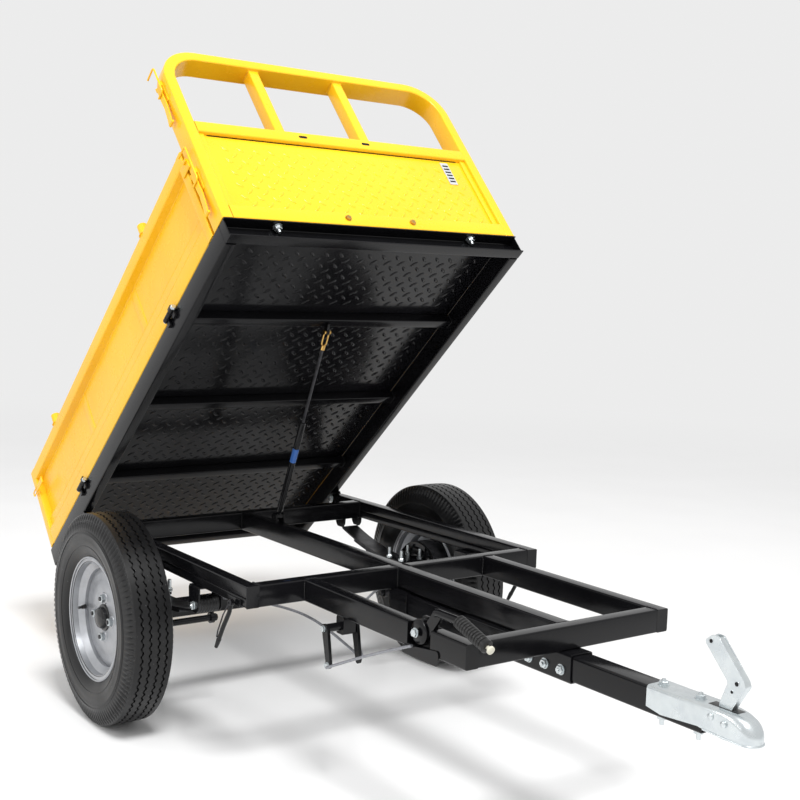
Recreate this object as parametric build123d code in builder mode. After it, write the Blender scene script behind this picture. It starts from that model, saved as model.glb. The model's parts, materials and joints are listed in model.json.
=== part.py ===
from build123d import *
import math
import os

os.makedirs("parts", exist_ok=True)

# Frame: x forward to the coupling, y to the left, z up, origin on the ground under the axle. Sizes in mm.
RIGHT, LEFT = -1, 1
SIDES = (RIGHT, LEFT)
TUBE_WALL = 3
SHEET = 2
RUN = 0.05  # radial clearance of a running fit

# Tipping box, drawn in its own frame: u forward along the floor, w up from the floor's top face
TIP_ANGLE = 42
PIVOT_X, PIVOT_Z = -432, 465
PIVOT_U, PIVOT_W = 303, -78
TIP_COS = math.cos(math.radians(TIP_ANGLE))
TIP_SIN = math.sin(math.radians(TIP_ANGLE))
BODY_X = PIVOT_X - PIVOT_U * TIP_COS + PIVOT_W * TIP_SIN
BODY_Z = PIVOT_Z - PIVOT_U * TIP_SIN - PIVOT_W * TIP_COS
CHASSIS = Plane.XY
BODY = Plane(origin=(BODY_X, 0, BODY_Z), x_dir=(TIP_COS, 0, TIP_SIN), z_dir=(-TIP_SIN, 0, TIP_COS))

# Chassis
CHASSIS_TOP = 482.5
CHASSIS_BOTTOM = 428.5
SPLIT_HEIGHT = 451.5
RAIL_WIDTH = 35
RAIL_OUTER = 456
RAIL_INNER = RAIL_OUTER - RAIL_WIDTH
RAIL_STEP = 2
RAIL_REAR = -407
MAIN_FRONT = 583
REAR_MEMBER_FRONT = -249
BEAM_HALF = 19
SUBFRAME_INNER, SUBFRAME_OUTER = 262, 297
SUBFRAME_FRONT = 1209

# Drawbar and coupling
DRAWBAR = 56
DRAWBAR_Z = 396.5
DRAWBAR_REAR, DRAWBAR_FRONT = 560, 1592
SLEEVE = 64
SLEEVE_BORE = 57
SLEEVE_FRONT = 1238
COUPLING_REAR = 1455
BALL_X, BALL_Z, BALL_RADIUS = 1684, 388, 25.5
SOCKET_OUTER = 30
HANDLE_PIVOT_X, HANDLE_PIVOT_Z = 1630, 412
BOLT_RADIUS = 6

# Axle, springs and wheels
AXLE_Z = 284
AXLE_SIZE = 45
SPRING_Y, SPRING_WIDTH = 428, 60
EYE_X, EYE_Z = 320, 378
LEAF = 7
LEAF_HALF_LENGTHS = (318, 245, 175, 105)
PACK_TOP = AXLE_Z + AXLE_SIZE / 2 + LEAF * len(LEAF_HALF_LENGTHS)
FRONT_RISE, REAR_RISE = 34, 84
CLAMP_X, CLAMP_Y = 32, 35.5
BACKPLATE_Y, BACKPLATE_RADIUS = 476, 104
DRUM_INNER, DRUM_OUTER = 101, 106
CAM_X, CAM_Z, CAM_RADIUS = 88, 268, 9
CAM_LEVER_Y, CAM_LEVER_TOP = 292, 335
WHEEL_Y, TYRE_RADIUS = 549, 284
RIM_HALF, RIM_LIP, RIM_SEAT, RIM_WELL = 49, 167, 153, 134
DISC_Y = 563
NUT_CIRCLE, STUD_RADIUS = 52, 6
SPINDLE_RADIUS = 12.5

# Box sizes
BODY_LENGTH = 1503
BOX_RAIL_OUTER, BOX_RAIL_WIDTH, BOX_RAIL_HEIGHT = 457, 30, 60
MEMBER_POSITIONS = (0, 420, 788, 1164)
MEMBER_TOP, MEMBER_BOTTOM = -3, -31
CHANNEL_FRONT, CHANNEL_BOTTOM = 1537, -59
WALL_REAR, WALL_FRONT = 6, 1466
WALL_OUTER, WALL_DEPTH, WALL_TOP, WALL_FOOT = 457, 27, 287, 2.5
FRAME_REAR, FRAME_FRONT, FRAME_TOP, FRAME_TUBE = 1475, 1535, 602, 30
FRAME_CORNER = 115
FRAME_SILL, FRAME_MID_LOW, FRAME_MID_HIGH = 43, 295, 332
PANEL_U = 1520
UPRIGHTS = (-170, 100)
SOCKET_POSITIONS = (290, 1160)
SOCKET_TUBE, SOCKET_HOLE, SOCKET_HEIGHT = 14, 6, 33
HINGE_Y, HINGE_W, KNUCKLE, HINGE_PIN = 465, 0, 7.5, 4
SIDE_HINGES = (375, 1170)
TAIL_HINGE_U, TAIL_HINGE_W, TAIL_KNUCKLE, TAIL_PIN = -5, -2, 5, 2.5
TAIL_HINGES = (-340, -120, 120, 340)
TAILGATE_HALF = 428
PIVOT_BOLT = 8

# Strut
STRUT_BASE_X, STRUT_BASE_Z = -60, 502
STRUT_TOP_U, STRUT_TOP_W = 1160, -46
STRUT_TUBE, STRUT_ROD, STRUT_TUBE_LENGTH = 9, 4, 322
FORK_SLOT, FORK_GAP, FORK_HALF = 50, 5.5, 9

# Latches on the front frame: u of the wire, w of the lever's hinge
LATCH_U, LATCH_Y = 1497, 463
LATCH_HINGES = {"lower": 178, "upper": 488}
LATCH_LEVER, LATCH_THROW, LATCH_REACH = 134, 20, 77
WIRE = 2.5
REAR_LATCH_U, REAR_LATCH_W = 96, 205
TOGGLE_X, TOGGLE_Y, TOGGLE_Z = 530, 463, 431
TOGGLE_TIP_X, TOGGLE_TIP_Z = 458, 311

# Hand brake
BRAKE_X, BRAKE_Y, BRAKE_Z, BRAKE_DRUM = 1045, -286, 468, 28
CROSS_X, CROSS_Z, CROSS_ARM = 736, 404, 82
CROSS_SWING = 20
CABLE = 3.5


def across(side, inner, outer):
    """Span in y of something between two distances from the centre plane."""
    return tuple(sorted((side * inner, side * outer)))


def grown(span, amount):
    """A span made longer by the same amount at both ends."""
    return (span[0] - amount, span[1] + amount)


def block(base, x_span, y_span, z_span, mode=Mode.ADD):
    """Straight-sided block, given by its spans in the base's frame."""
    with BuildSketch(base.offset(z_span[0])) as outline:
        with Locations((sum(x_span) / 2, sum(y_span) / 2)):
            Rectangle(x_span[1] - x_span[0], y_span[1] - y_span[0])
    extrude(outline.sketch, amount=z_span[1] - z_span[0], mode=mode)


def tube_forward(base, x_span, y_span, z_span, wall=TUBE_WALL):
    """Rectangular tube that runs forward, open at both ends."""
    block(base, x_span, y_span, z_span)
    block(base, grown(x_span, 1), grown(y_span, -wall), grown(z_span, -wall), Mode.SUBTRACT)


def tube_across(base, x_span, y_span, z_span, wall=TUBE_WALL):
    """Rectangular tube that runs across, open at both ends."""
    block(base, x_span, y_span, z_span)
    block(base, grown(x_span, -wall), grown(y_span, 1), grown(z_span, -wall), Mode.SUBTRACT)


def side_plane(base, left):
    """Upright plane at a distance to the left: local x forward, local y up, facing right."""
    return Plane(base.from_local_coords((0, left, 0)), x_dir=base.x_dir, z_dir=-base.y_dir)


def front_plane(base, forward):
    """Upright plane at a distance forward: local x to the left, local y up, facing forward."""
    return Plane(base.from_local_coords((forward, 0, 0)), x_dir=base.y_dir, z_dir=base.x_dir)


def plate(base, points, y_span, mode=Mode.ADD):
    """Flat plate with an outline of straight edges, given in the side view, between two y values."""
    with BuildSketch(side_plane(base, y_span[1])) as outline:
        with BuildLine():
            Polyline(*points, close=True)
        make_face()
    extrude(outline.sketch, amount=y_span[1] - y_span[0], mode=mode)


def rod(base, start, end, radius, mode=Mode.ADD):
    """Round bar between two points of the base's frame."""
    foot = base.from_local_coords(start)
    reach = base.from_local_coords(end) - foot
    with BuildSketch(Plane(foot, z_dir=reach)) as section:
        Circle(radius)
    extrude(section.sketch, amount=reach.length, mode=mode)


def disc(base, x, y_span, z, radius, mode=Mode.ADD):
    """Round bar or hole along y."""
    rod(base, (x, y_span[0], z), (x, y_span[1], z), radius, mode)


def hexagon(base, start, end, flat_half):
    """Hexagonal nut or bolt head between two points, with a half width over its flats."""
    foot = base.from_local_coords(start)
    reach = base.from_local_coords(end) - foot
    with BuildSketch(Plane(foot, z_dir=reach)) as section:
        RegularPolygon(flat_half, 6, major_radius=False)
    extrude(section.sketch, amount=reach.length)


def wire(base, points, radius, bend):
    """Bent round wire through points of the base's frame."""
    route = [base.from_local_coords(point) for point in points]
    with BuildLine() as path:
        FilletPolyline(*route, radius=bend)
    with BuildSketch(Plane(path.line @ 0, z_dir=path.line % 0)) as section:
        Circle(radius)
    sweep(section.sketch, path=path.line)


def write_pair(right, name):
    """Write a right-hand sub-part and its mirror image on the left."""
    right.part.label = f"{name}_right"
    export_step(right.part, f"parts/{name}_right.step")
    left = mirror(right.part, about=Plane.XZ)
    left.label = f"{name}_left"
    export_step(left, f"parts/{name}_left.step")


# Main rails: an upper tube on a slightly narrower lower one, with the tipping pivot's lug, rounded about
# the pivot bolt, and the pin of the rail toggle
LUG_RADIUS = 15
TOGGLE_PIN = 3
with BuildPart() as main_rails:
    for side in SIDES:
        rail_span = across(side, RAIL_INNER, RAIL_OUTER)
        tube_forward(CHASSIS, (RAIL_REAR, MAIN_FRONT), rail_span, (SPLIT_HEIGHT, CHASSIS_TOP))
        lower_span = (CHASSIS_BOTTOM, SPLIT_HEIGHT)
        tube_forward(CHASSIS, (RAIL_REAR, MAIN_FRONT), grown(rail_span, -RAIL_STEP), lower_span)
    for side in SIDES:
        lug_span = across(side, 428, 450)
        lug_x = (PIVOT_X, RAIL_REAR)
        block(CHASSIS, lug_x, lug_span, (PIVOT_Z - LUG_RADIUS, PIVOT_Z + LUG_RADIUS))
        disc(CHASSIS, PIVOT_X, lug_span, PIVOT_Z, LUG_RADIUS)
        disc(CHASSIS, PIVOT_X, lug_span, PIVOT_Z, PIVOT_BOLT + RUN, Mode.SUBTRACT)
        low_face = across(side, RAIL_OUTER - RAIL_STEP, RAIL_OUTER + 2)
        block(CHASSIS, (TOGGLE_X - 38, TOGGLE_X + 26), low_face, (CHASSIS_BOTTOM, 446))
        disc(CHASSIS, TOGGLE_X, across(side, RAIL_OUTER + 2, TOGGLE_Y + 6), TOGGLE_Z + 2, TOGGLE_PIN)
main_rails.part.label = "main_rails"
export_step(main_rails.part, "parts/main_rails.step")

# Cross members: rear, front in two halves beside the beam, and the subframe's front one
with BuildPart() as chassis_crossmembers:
    member_height = (CHASSIS_BOTTOM, CHASSIS_TOP)
    rear_span = (REAR_MEMBER_FRONT - RAIL_WIDTH, REAR_MEMBER_FRONT)
    tube_across(CHASSIS, rear_span, (-RAIL_INNER, RAIL_INNER), member_height)
    for side in SIDES:
        front_span = (MAIN_FRONT - RAIL_WIDTH, MAIN_FRONT)
        tube_across(CHASSIS, front_span, across(side, BEAM_HALF, RAIL_INNER), member_height)
    nose_span = (SUBFRAME_FRONT - RAIL_WIDTH, SUBFRAME_FRONT)
    tube_across(CHASSIS, nose_span, (-SUBFRAME_INNER, SUBFRAME_INNER), member_height)
chassis_crossmembers.part.label = "chassis_crossmembers"
export_step(chassis_crossmembers.part, "parts/chassis_crossmembers.step")

# Centre beam
with BuildPart() as centre_beam:
    beam_span = (REAR_MEMBER_FRONT, SUBFRAME_FRONT - RAIL_WIDTH)
    tube_forward(CHASSIS, beam_span, (-BEAM_HALF, BEAM_HALF), (CHASSIS_BOTTOM, CHASSIS_TOP))
centre_beam.part.label = "centre_beam"
export_step(centre_beam.part, "parts/centre_beam.step")

# Subframe rails: the right one is cut down in front for the hand brake
BRAKE_CUT_REAR = 1008
BRAKE_CUT_FLOOR = 436
with BuildPart() as subframe_rails:
    for side in SIDES:
        span = across(side, SUBFRAME_INNER, SUBFRAME_OUTER)
        tube_forward(CHASSIS, (MAIN_FRONT, SUBFRAME_FRONT), span, (CHASSIS_BOTTOM, CHASSIS_TOP))
    cut_y = (-SUBFRAME_OUTER - 1, -SUBFRAME_INNER - TUBE_WALL)
    block(CHASSIS, (BRAKE_CUT_REAR, 1090), cut_y, (BRAKE_CUT_FLOOR, CHASSIS_TOP + 1), Mode.SUBTRACT)
subframe_rails.part.label = "subframe_rails"
export_step(subframe_rails.part, "parts/subframe_rails.step")

# Drawbar sleeves: a long front one and a short rear one
SLEEVE_BOLTS = (1106, 1158, 1209)
SLEEVE_BOLT_Z = 390
HEAD = 7
with BuildPart() as drawbar_sleeves:
    sleeve_y = (-SLEEVE / 2, SLEEVE / 2)
    sleeve_z = (DRAWBAR_Z - SLEEVE / 2, DRAWBAR_Z + SLEEVE / 2)
    sleeve_wall = (SLEEVE - SLEEVE_BORE) / 2
    for sleeve_span in ((DRAWBAR_REAR + 10, DRAWBAR_REAR + 80), (870, SLEEVE_FRONT)):
        tube_forward(CHASSIS, sleeve_span, sleeve_y, sleeve_z, sleeve_wall)
    for x in SLEEVE_BOLTS:
        disc(CHASSIS, x, grown(sleeve_y, 1), SLEEVE_BOLT_Z, BOLT_RADIUS, Mode.SUBTRACT)
drawbar_sleeves.part.label = "drawbar_sleeves"
export_step(drawbar_sleeves.part, "parts/drawbar_sleeves.step")

# Drawbar
COUPLING_BOLTS = (1471, 1566)
COUPLING_TOP = 427.5
COUPLING_SHEET = 3
with BuildPart() as drawbar:
    bar_y = (-DRAWBAR / 2, DRAWBAR / 2)
    bar_z = (DRAWBAR_Z - DRAWBAR / 2, DRAWBAR_Z + DRAWBAR / 2)
    tube_forward(CHASSIS, (DRAWBAR_REAR, DRAWBAR_FRONT), bar_y, bar_z, TUBE_WALL + 1)
    for x in SLEEVE_BOLTS:
        disc(CHASSIS, x, grown(bar_y, 1), SLEEVE_BOLT_Z, BOLT_RADIUS, Mode.SUBTRACT)
    for x in COUPLING_BOLTS:
        rod(CHASSIS, (x, 0, bar_z[0] - 1), (x, 0, bar_z[1] + 1), BOLT_RADIUS, Mode.SUBTRACT)
drawbar.part.label = "drawbar"
export_step(drawbar.part, "parts/drawbar.step")

# Drawbar bolts: across through the sleeve, and down through the coupling
NUT_HALF = 9.5
BOLT_END = 14
with BuildPart() as drawbar_bolts:
    for x in SLEEVE_BOLTS:
        head_y = -SLEEVE / 2
        disc(CHASSIS, x, (head_y - HEAD, SLEEVE / 2 + BOLT_END), SLEEVE_BOLT_Z, BOLT_RADIUS)
        hexagon(CHASSIS, (x, head_y, SLEEVE_BOLT_Z), (x, head_y - HEAD, SLEEVE_BOLT_Z), NUT_HALF)
        nut_y = SLEEVE / 2
        hexagon(CHASSIS, (x, nut_y, SLEEVE_BOLT_Z), (x, nut_y + HEAD, SLEEVE_BOLT_Z), NUT_HALF)
    for x in COUPLING_BOLTS:
        under = DRAWBAR_Z - DRAWBAR / 2
        rod(CHASSIS, (x, 0, under - 2 * BOLT_END), (x, 0, COUPLING_TOP + HEAD), BOLT_RADIUS)
        hexagon(CHASSIS, (x, 0, COUPLING_TOP), (x, 0, COUPLING_TOP + HEAD), NUT_HALF)
        hexagon(CHASSIS, (x, 0, under - 1.5 * HEAD), (x, 0, under), NUT_HALF)
drawbar_bolts.part.label = "drawbar_bolts"
export_step(drawbar_bolts.part, "parts/drawbar_bolts.step")

# Coupling shell: a channel over the drawbar that narrows to the ball socket, open below
COUPLING_HALF = 31.5
CHANNEL_END = 1604
with BuildPart() as coupling_body:
    with BuildSketch(Plane.XY.offset(BALL_Z - 12)) as shell_plan:
        with BuildLine():
            Polyline(
                (COUPLING_REAR, -COUPLING_HALF),
                (CHANNEL_END, -COUPLING_HALF),
                (BALL_X, -SOCKET_OUTER),
                (BALL_X, SOCKET_OUTER),
                (CHANNEL_END, COUPLING_HALF),
                (COUPLING_REAR, COUPLING_HALF),
                close=True,
            )
        make_face()
        with Locations((BALL_X, 0)):
            Circle(SOCKET_OUTER)
    extrude(shell_plan.sketch, amount=COUPLING_TOP - BALL_Z + 12)
    nose_edges = coupling_body.edges().group_by(Axis.Z)[-1].sort_by(Axis.X)[-1]
    fillet(nose_edges, radius=14)
    hollow_y = (COUPLING_SHEET - COUPLING_HALF, COUPLING_HALF - COUPLING_SHEET)
    hollow_z = (BALL_Z - 13, COUPLING_TOP - COUPLING_SHEET)
    block(CHASSIS, (COUPLING_REAR - 1, CHANNEL_END + 48), hollow_y, hollow_z, Mode.SUBTRACT)
    rod(CHASSIS, (BALL_X, 0, BALL_Z - 13), (BALL_X, 0, BALL_Z), BALL_RADIUS, Mode.SUBTRACT)
    with Locations((BALL_X, 0, BALL_Z)):
        Sphere(BALL_RADIUS, mode=Mode.SUBTRACT)
    block(CHASSIS, (1594, 1668), (-11, 11), (COUPLING_TOP - 15, COUPLING_TOP + 1), Mode.SUBTRACT)
    for x in COUPLING_BOLTS:
        rod(CHASSIS, (x, 0, COUPLING_TOP - 5), (x, 0, COUPLING_TOP + 1), BOLT_RADIUS, Mode.SUBTRACT)
    pin_span = (-COUPLING_HALF - 3, COUPLING_HALF + 3)
    disc(CHASSIS, HANDLE_PIVOT_X, pin_span, HANDLE_PIVOT_Z, 4)
coupling_body.part.label = "coupling_body"
export_step(coupling_body.part, "parts/coupling_body.step")

# Coupling handle: a bent lever that turns on the shell's cross pin
HANDLE_HALF = 9
with BuildPart() as coupling_handle:
    handle_outline = [
        (1618, 408), (1642, 408), (1676, 484), (1606, 561), (1575, 545), (1636, 478), (1614, 430),
    ]
    plate(CHASSIS, handle_outline, (-HANDLE_HALF, HANDLE_HALF))
    disc(CHASSIS, HANDLE_PIVOT_X, (-HANDLE_HALF, HANDLE_HALF), HANDLE_PIVOT_Z, 9)
    for x, z, radius in ((HANDLE_PIVOT_X, HANDLE_PIVOT_Z, 4 + RUN), (1590, 548, 5), (1656, 482, 5)):
        disc(CHASSIS, x, (-HANDLE_HALF - 1, HANDLE_HALF + 1), z, radius, Mode.SUBTRACT)
coupling_handle.part.label = "coupling_handle"
export_step(coupling_handle.part, "parts/coupling_handle.step")

# Spring hangers: arched double plates under the rails, with the front eye bolts and bushes
HANGER_HALF = 30
HANGER_PLATE = 4
HANGER_INNER, HANGER_OUTER = 394, 462
BUSH_RADIUS, EYE_BOLT = 13.5, 6
with BuildPart() as spring_hangers:
    for side in SIDES:
        for x, foot in ((EYE_X, EYE_Z - 18), (-EYE_X - 5, 388)):
            hanger_x = (x - HANGER_HALF, x + HANGER_HALF)
            hanger_y = across(side, HANGER_INNER, HANGER_OUTER)
            block(CHASSIS, hanger_x, hanger_y, (foot, CHASSIS_BOTTOM))
            inside = (foot - 1, CHASSIS_BOTTOM - HANGER_PLATE)
            block(CHASSIS, grown(hanger_x, 1), grown(hanger_y, -HANGER_PLATE), inside, Mode.SUBTRACT)
        disc(CHASSIS, EYE_X, across(side, HANGER_INNER - 9, HANGER_OUTER + 9), EYE_Z, EYE_BOLT)
spring_hangers.part.label = "spring_hangers"
export_step(spring_hangers.part, "parts/spring_hangers.step")

# Leaf springs: four curved leaves on each side, the top one with a rolled eye in front
with BuildPart() as leaf_springs:
    for side in SIDES:
        spring_span = across(side, SPRING_Y - SPRING_WIDTH / 2, SPRING_Y + SPRING_WIDTH / 2)
        for index, half_length in enumerate(LEAF_HALF_LENGTHS):
            for direction, rise in ((1, FRONT_RISE), (-1, REAR_RISE)):
                bend = (EYE_X**2 + rise**2) / (2 * rise)
                limit = half_length if direction < 0 else half_length - 14
                middle = (0, PACK_TOP + bend)
                with BuildSketch(side_plane(CHASSIS, spring_span[1])) as leaf:
                    with Locations(middle):
                        Circle(bend + LEAF * (index + 1))
                        Circle(bend + LEAF * index, mode=Mode.SUBTRACT)
                    with Locations((direction * limit / 2, PACK_TOP)):
                        Rectangle(limit, 2 * REAR_RISE + 2 * LEAF, mode=Mode.INTERSECT)
                extrude(leaf.sketch, amount=SPRING_WIDTH)
        disc(CHASSIS, EYE_X, spring_span, EYE_Z, BUSH_RADIUS + LEAF)
        disc(CHASSIS, EYE_X, spring_span, EYE_Z, EYE_BOLT, Mode.SUBTRACT)
        seat_x = (-CLAMP_X - 10, CLAMP_X + 10)
        block(CHASSIS, seat_x, grown(spring_span, 1), (PACK_TOP, PACK_TOP + LEAF), Mode.SUBTRACT)
leaf_springs.part.label = "leaf_springs"
export_step(leaf_springs.part, "parts/leaf_springs.step")

# Axle beam: square bar with flanges and stub spindles
SPINDLE_END = 572
FLANGE_RADIUS = 42
BEAM_END = 469
with BuildPart() as axle_beam:
    half = AXLE_SIZE / 2
    block(CHASSIS, (-half, half), (-BEAM_END, BEAM_END), (AXLE_Z - half, AXLE_Z + half))
    for side in SIDES:
        disc(CHASSIS, 0, across(side, BEAM_END, BACKPLATE_Y), AXLE_Z, FLANGE_RADIUS)
        disc(CHASSIS, 0, across(side, BACKPLATE_Y, SPINDLE_END), AXLE_Z, SPINDLE_RADIUS)
axle_beam.part.label = "axle_beam"
export_step(axle_beam.part, "parts/axle_beam.step")

# Spring plates: clamp plates on top of the leaf packs
CLAMP_ROD = 5
PLATE_THICK = 8
with BuildPart() as spring_plates:
    for side in SIDES:
        plate_y = across(side, SPRING_Y - CLAMP_Y - 6, SPRING_Y + CLAMP_Y + 6)
        block(CHASSIS, (-CLAMP_X - 9, CLAMP_X + 9), plate_y, (PACK_TOP, PACK_TOP + PLATE_THICK))
        for x in (-CLAMP_X, CLAMP_X):
            for dy in (-CLAMP_Y, CLAMP_Y):
                y = side * SPRING_Y + dy
                rod(CHASSIS, (x, y, PACK_TOP - 1), (x, y, PACK_TOP + 9), CLAMP_ROD, Mode.SUBTRACT)
spring_plates.part.label = "spring_plates"
export_step(spring_plates.part, "parts/spring_plates.step")

# U-bolts with their nuts
CLAMP_FOOT = AXLE_Z - AXLE_SIZE / 2 - CLAMP_ROD
STUD_TOP = 375
with BuildPart() as u_bolts:
    for side in SIDES:
        for dy in (-CLAMP_Y, CLAMP_Y):
            y = side * SPRING_Y + dy
            bow = [(-CLAMP_X, y, STUD_TOP), (-CLAMP_X, y, CLAMP_FOOT)]
            bow += [(CLAMP_X, y, CLAMP_FOOT), (CLAMP_X, y, STUD_TOP)]
            wire(CHASSIS, bow, CLAMP_ROD, 8)
            for x in (-CLAMP_X, CLAMP_X):
                nut_foot = PACK_TOP + PLATE_THICK
                hexagon(CHASSIS, (x, y, nut_foot), (x, y, nut_foot + 8), 7.5)
u_bolts.part.label = "u_bolts"
export_step(u_bolts.part, "parts/u_bolts.step")

# Brake backplates
with BuildPart() as backplates:
    for side in SIDES:
        plate_span = across(side, BACKPLATE_Y, BACKPLATE_Y + 3)
        disc(CHASSIS, 0, plate_span, AXLE_Z, BACKPLATE_RADIUS)
        disc(CHASSIS, 0, grown(plate_span, 1), AXLE_Z, SPINDLE_RADIUS, Mode.SUBTRACT)
        disc(CHASSIS, CAM_X, grown(plate_span, 1), CAM_Z, CAM_RADIUS + 0.5, Mode.SUBTRACT)
backplates.part.label = "backplates"
export_step(backplates.part, "parts/backplates.step")

# Brake shoes: two arcs in each drum, apart from each other at the cam
SHOE_OUTER, SHOE_INNER, SHOE_WIDTH = 99, 88, 32
with BuildPart() as brake_shoes:
    for side in SIDES:
        shoe_span = across(side, BACKPLATE_Y + 3, BACKPLATE_Y + 3 + SHOE_WIDTH)
        disc(CHASSIS, 0, shoe_span, AXLE_Z, SHOE_OUTER)
        disc(CHASSIS, 0, grown(shoe_span, 1), AXLE_Z, SHOE_INNER, Mode.SUBTRACT)
        gap = (AXLE_Z - 40, AXLE_Z + 22)
        block(CHASSIS, (-TYRE_RADIUS, TYRE_RADIUS), grown(shoe_span, 1), gap, Mode.SUBTRACT)
brake_shoes.part.label = "brake_shoes"
export_step(brake_shoes.part, "parts/brake_shoes.step")

# Cam shafts: each crosses its backplate and carries a lever on the inner end
with BuildPart() as cam_shaft:
    disc(CHASSIS, CAM_X, (-BACKPLATE_Y - 3, -284), CAM_Z, CAM_RADIUS)
    hexagon(CHASSIS, (CAM_X, -284, CAM_Z), (CAM_X, -276, CAM_Z), NUT_HALF)
    lever_span = (-CAM_LEVER_Y - 3, -CAM_LEVER_Y + 3)
    disc(CHASSIS, CAM_X, lever_span, CAM_Z, 15)
    lever_outline = [
        (CAM_X - 11, CAM_Z), (CAM_X + 11, CAM_Z), (CAM_X + 8, CAM_LEVER_TOP), (CAM_X - 8, CAM_LEVER_TOP),
    ]
    plate(CHASSIS, lever_outline, lever_span)
write_pair(cam_shaft, "cam_shaft")

# Tyre, its section turned about the axle
with BuildPart() as tyre:
    with BuildSketch(Plane.YZ) as tyre_section:
        with BuildLine():
            Polyline(
                (WHEEL_Y - RIM_HALF + 1, AXLE_Z + RIM_SEAT),
                (WHEEL_Y - RIM_HALF + 1, AXLE_Z + RIM_LIP + 1),
                (WHEEL_Y - 60, AXLE_Z + 186),
                (WHEEL_Y - 66, AXLE_Z + 212),
                (WHEEL_Y - 64, AXLE_Z + 240),
                (WHEEL_Y - 56, AXLE_Z + 272),
                (WHEEL_Y - 46, AXLE_Z + TYRE_RADIUS - 2),
                (WHEEL_Y, AXLE_Z + TYRE_RADIUS),
                (WHEEL_Y + 46, AXLE_Z + TYRE_RADIUS - 2),
                (WHEEL_Y + 56, AXLE_Z + 272),
                (WHEEL_Y + 64, AXLE_Z + 240),
                (WHEEL_Y + 66, AXLE_Z + 212),
                (WHEEL_Y + 60, AXLE_Z + 186),
                (WHEEL_Y + RIM_HALF - 1, AXLE_Z + RIM_LIP + 1),
                (WHEEL_Y + RIM_HALF - 1, AXLE_Z + RIM_SEAT),
                (WHEEL_Y + 38, AXLE_Z + RIM_SEAT),
                (WHEEL_Y + 54, AXLE_Z + 212),
                (WHEEL_Y + 44, AXLE_Z + 262),
                (WHEEL_Y - 44, AXLE_Z + 262),
                (WHEEL_Y - 54, AXLE_Z + 212),
                (WHEEL_Y - 38, AXLE_Z + RIM_SEAT),
                close=True,
            )
        make_face()
    revolve(tyre_section.sketch, axis=Axis((0, 0, AXLE_Z), (0, 1, 0)))
with BuildPart() as tyre_right:
    mirror(tyre.part, about=Plane.XZ)
write_pair(tyre_right, "tyre")

# Rim: lips, bead seats, well and dish pressed from sheet, with stud holes and the valve
RIM_SHEET = 3.5
HUB_HOLE = 36
with BuildPart() as rim_right:
    with BuildSketch(Plane.YZ) as rim_section:
        with BuildLine():
            Polyline(
                (-WHEEL_Y - RIM_HALF, AXLE_Z + RIM_LIP),
                (-WHEEL_Y - RIM_HALF, AXLE_Z + RIM_SEAT),
                (-WHEEL_Y - 34, AXLE_Z + RIM_SEAT),
                (-WHEEL_Y - 22, AXLE_Z + RIM_WELL),
                (-WHEEL_Y + 22, AXLE_Z + RIM_WELL),
                (-WHEEL_Y + 34, AXLE_Z + RIM_SEAT),
                (-WHEEL_Y + RIM_HALF, AXLE_Z + RIM_SEAT),
                (-WHEEL_Y + RIM_HALF, AXLE_Z + RIM_LIP),
            )
            offset(amount=RIM_SHEET, side=Side.RIGHT, kind=Kind.INTERSECTION)
        make_face()
    revolve(rim_section.sketch, axis=Axis((0, 0, AXLE_Z), (0, 1, 0)))
    dish_span = (-DISC_Y - RIM_SHEET, -DISC_Y)
    disc(CHASSIS, 0, dish_span, AXLE_Z, RIM_WELL - 1)
    disc(CHASSIS, 0, grown(dish_span, 1), AXLE_Z, HUB_HOLE, Mode.SUBTRACT)
    for turn in range(4):
        angle = math.radians(90 * turn)
        x, z = NUT_CIRCLE * math.sin(angle), AXLE_Z + NUT_CIRCLE * math.cos(angle)
        disc(CHASSIS, x, grown(dish_span, 1), z, STUD_RADIUS + 1, Mode.SUBTRACT)
    rod(CHASSIS, (-132, -WHEEL_Y - 20, AXLE_Z), (-128, -WHEEL_Y - 41, AXLE_Z), 4)
write_pair(rim_right, "rim")

# Hub with drum, turning on the spindle, with its four studs
HUB_RADIUS = 30
with BuildPart() as hub_drum_right:
    disc(CHASSIS, 0, (-DISC_Y, -BACKPLATE_Y - 6), AXLE_Z, DRUM_OUTER)
    disc(CHASSIS, 0, (-DISC_Y + 6, -BACKPLATE_Y), AXLE_Z, DRUM_INNER, Mode.SUBTRACT)
    disc(CHASSIS, 0, (-DISC_Y, -BACKPLATE_Y - 6), AXLE_Z, HUB_RADIUS)
    disc(CHASSIS, 0, (-DISC_Y - 1, -BACKPLATE_Y), AXLE_Z, SPINDLE_RADIUS + RUN, Mode.SUBTRACT)
    for turn in range(4):
        angle = math.radians(90 * turn)
        x, z = NUT_CIRCLE * math.sin(angle), AXLE_Z + NUT_CIRCLE * math.cos(angle)
        disc(CHASSIS, x, (-DISC_Y - 20, -DISC_Y), z, STUD_RADIUS)
write_pair(hub_drum_right, "hub_drum")

# Wheel nuts
with BuildPart() as wheel_nuts_right:
    for turn in range(4):
        angle = math.radians(90 * turn)
        x, z = NUT_CIRCLE * math.sin(angle), AXLE_Z + NUT_CIRCLE * math.cos(angle)
        seat = -DISC_Y - RIM_SHEET
        hexagon(CHASSIS, (x, seat, z), (x, seat - 12, z), NUT_HALF)
        disc(CHASSIS, x, (seat - 13, seat + 1), z, STUD_RADIUS, Mode.SUBTRACT)
write_pair(wheel_nuts_right, "wheel_nuts")

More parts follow.
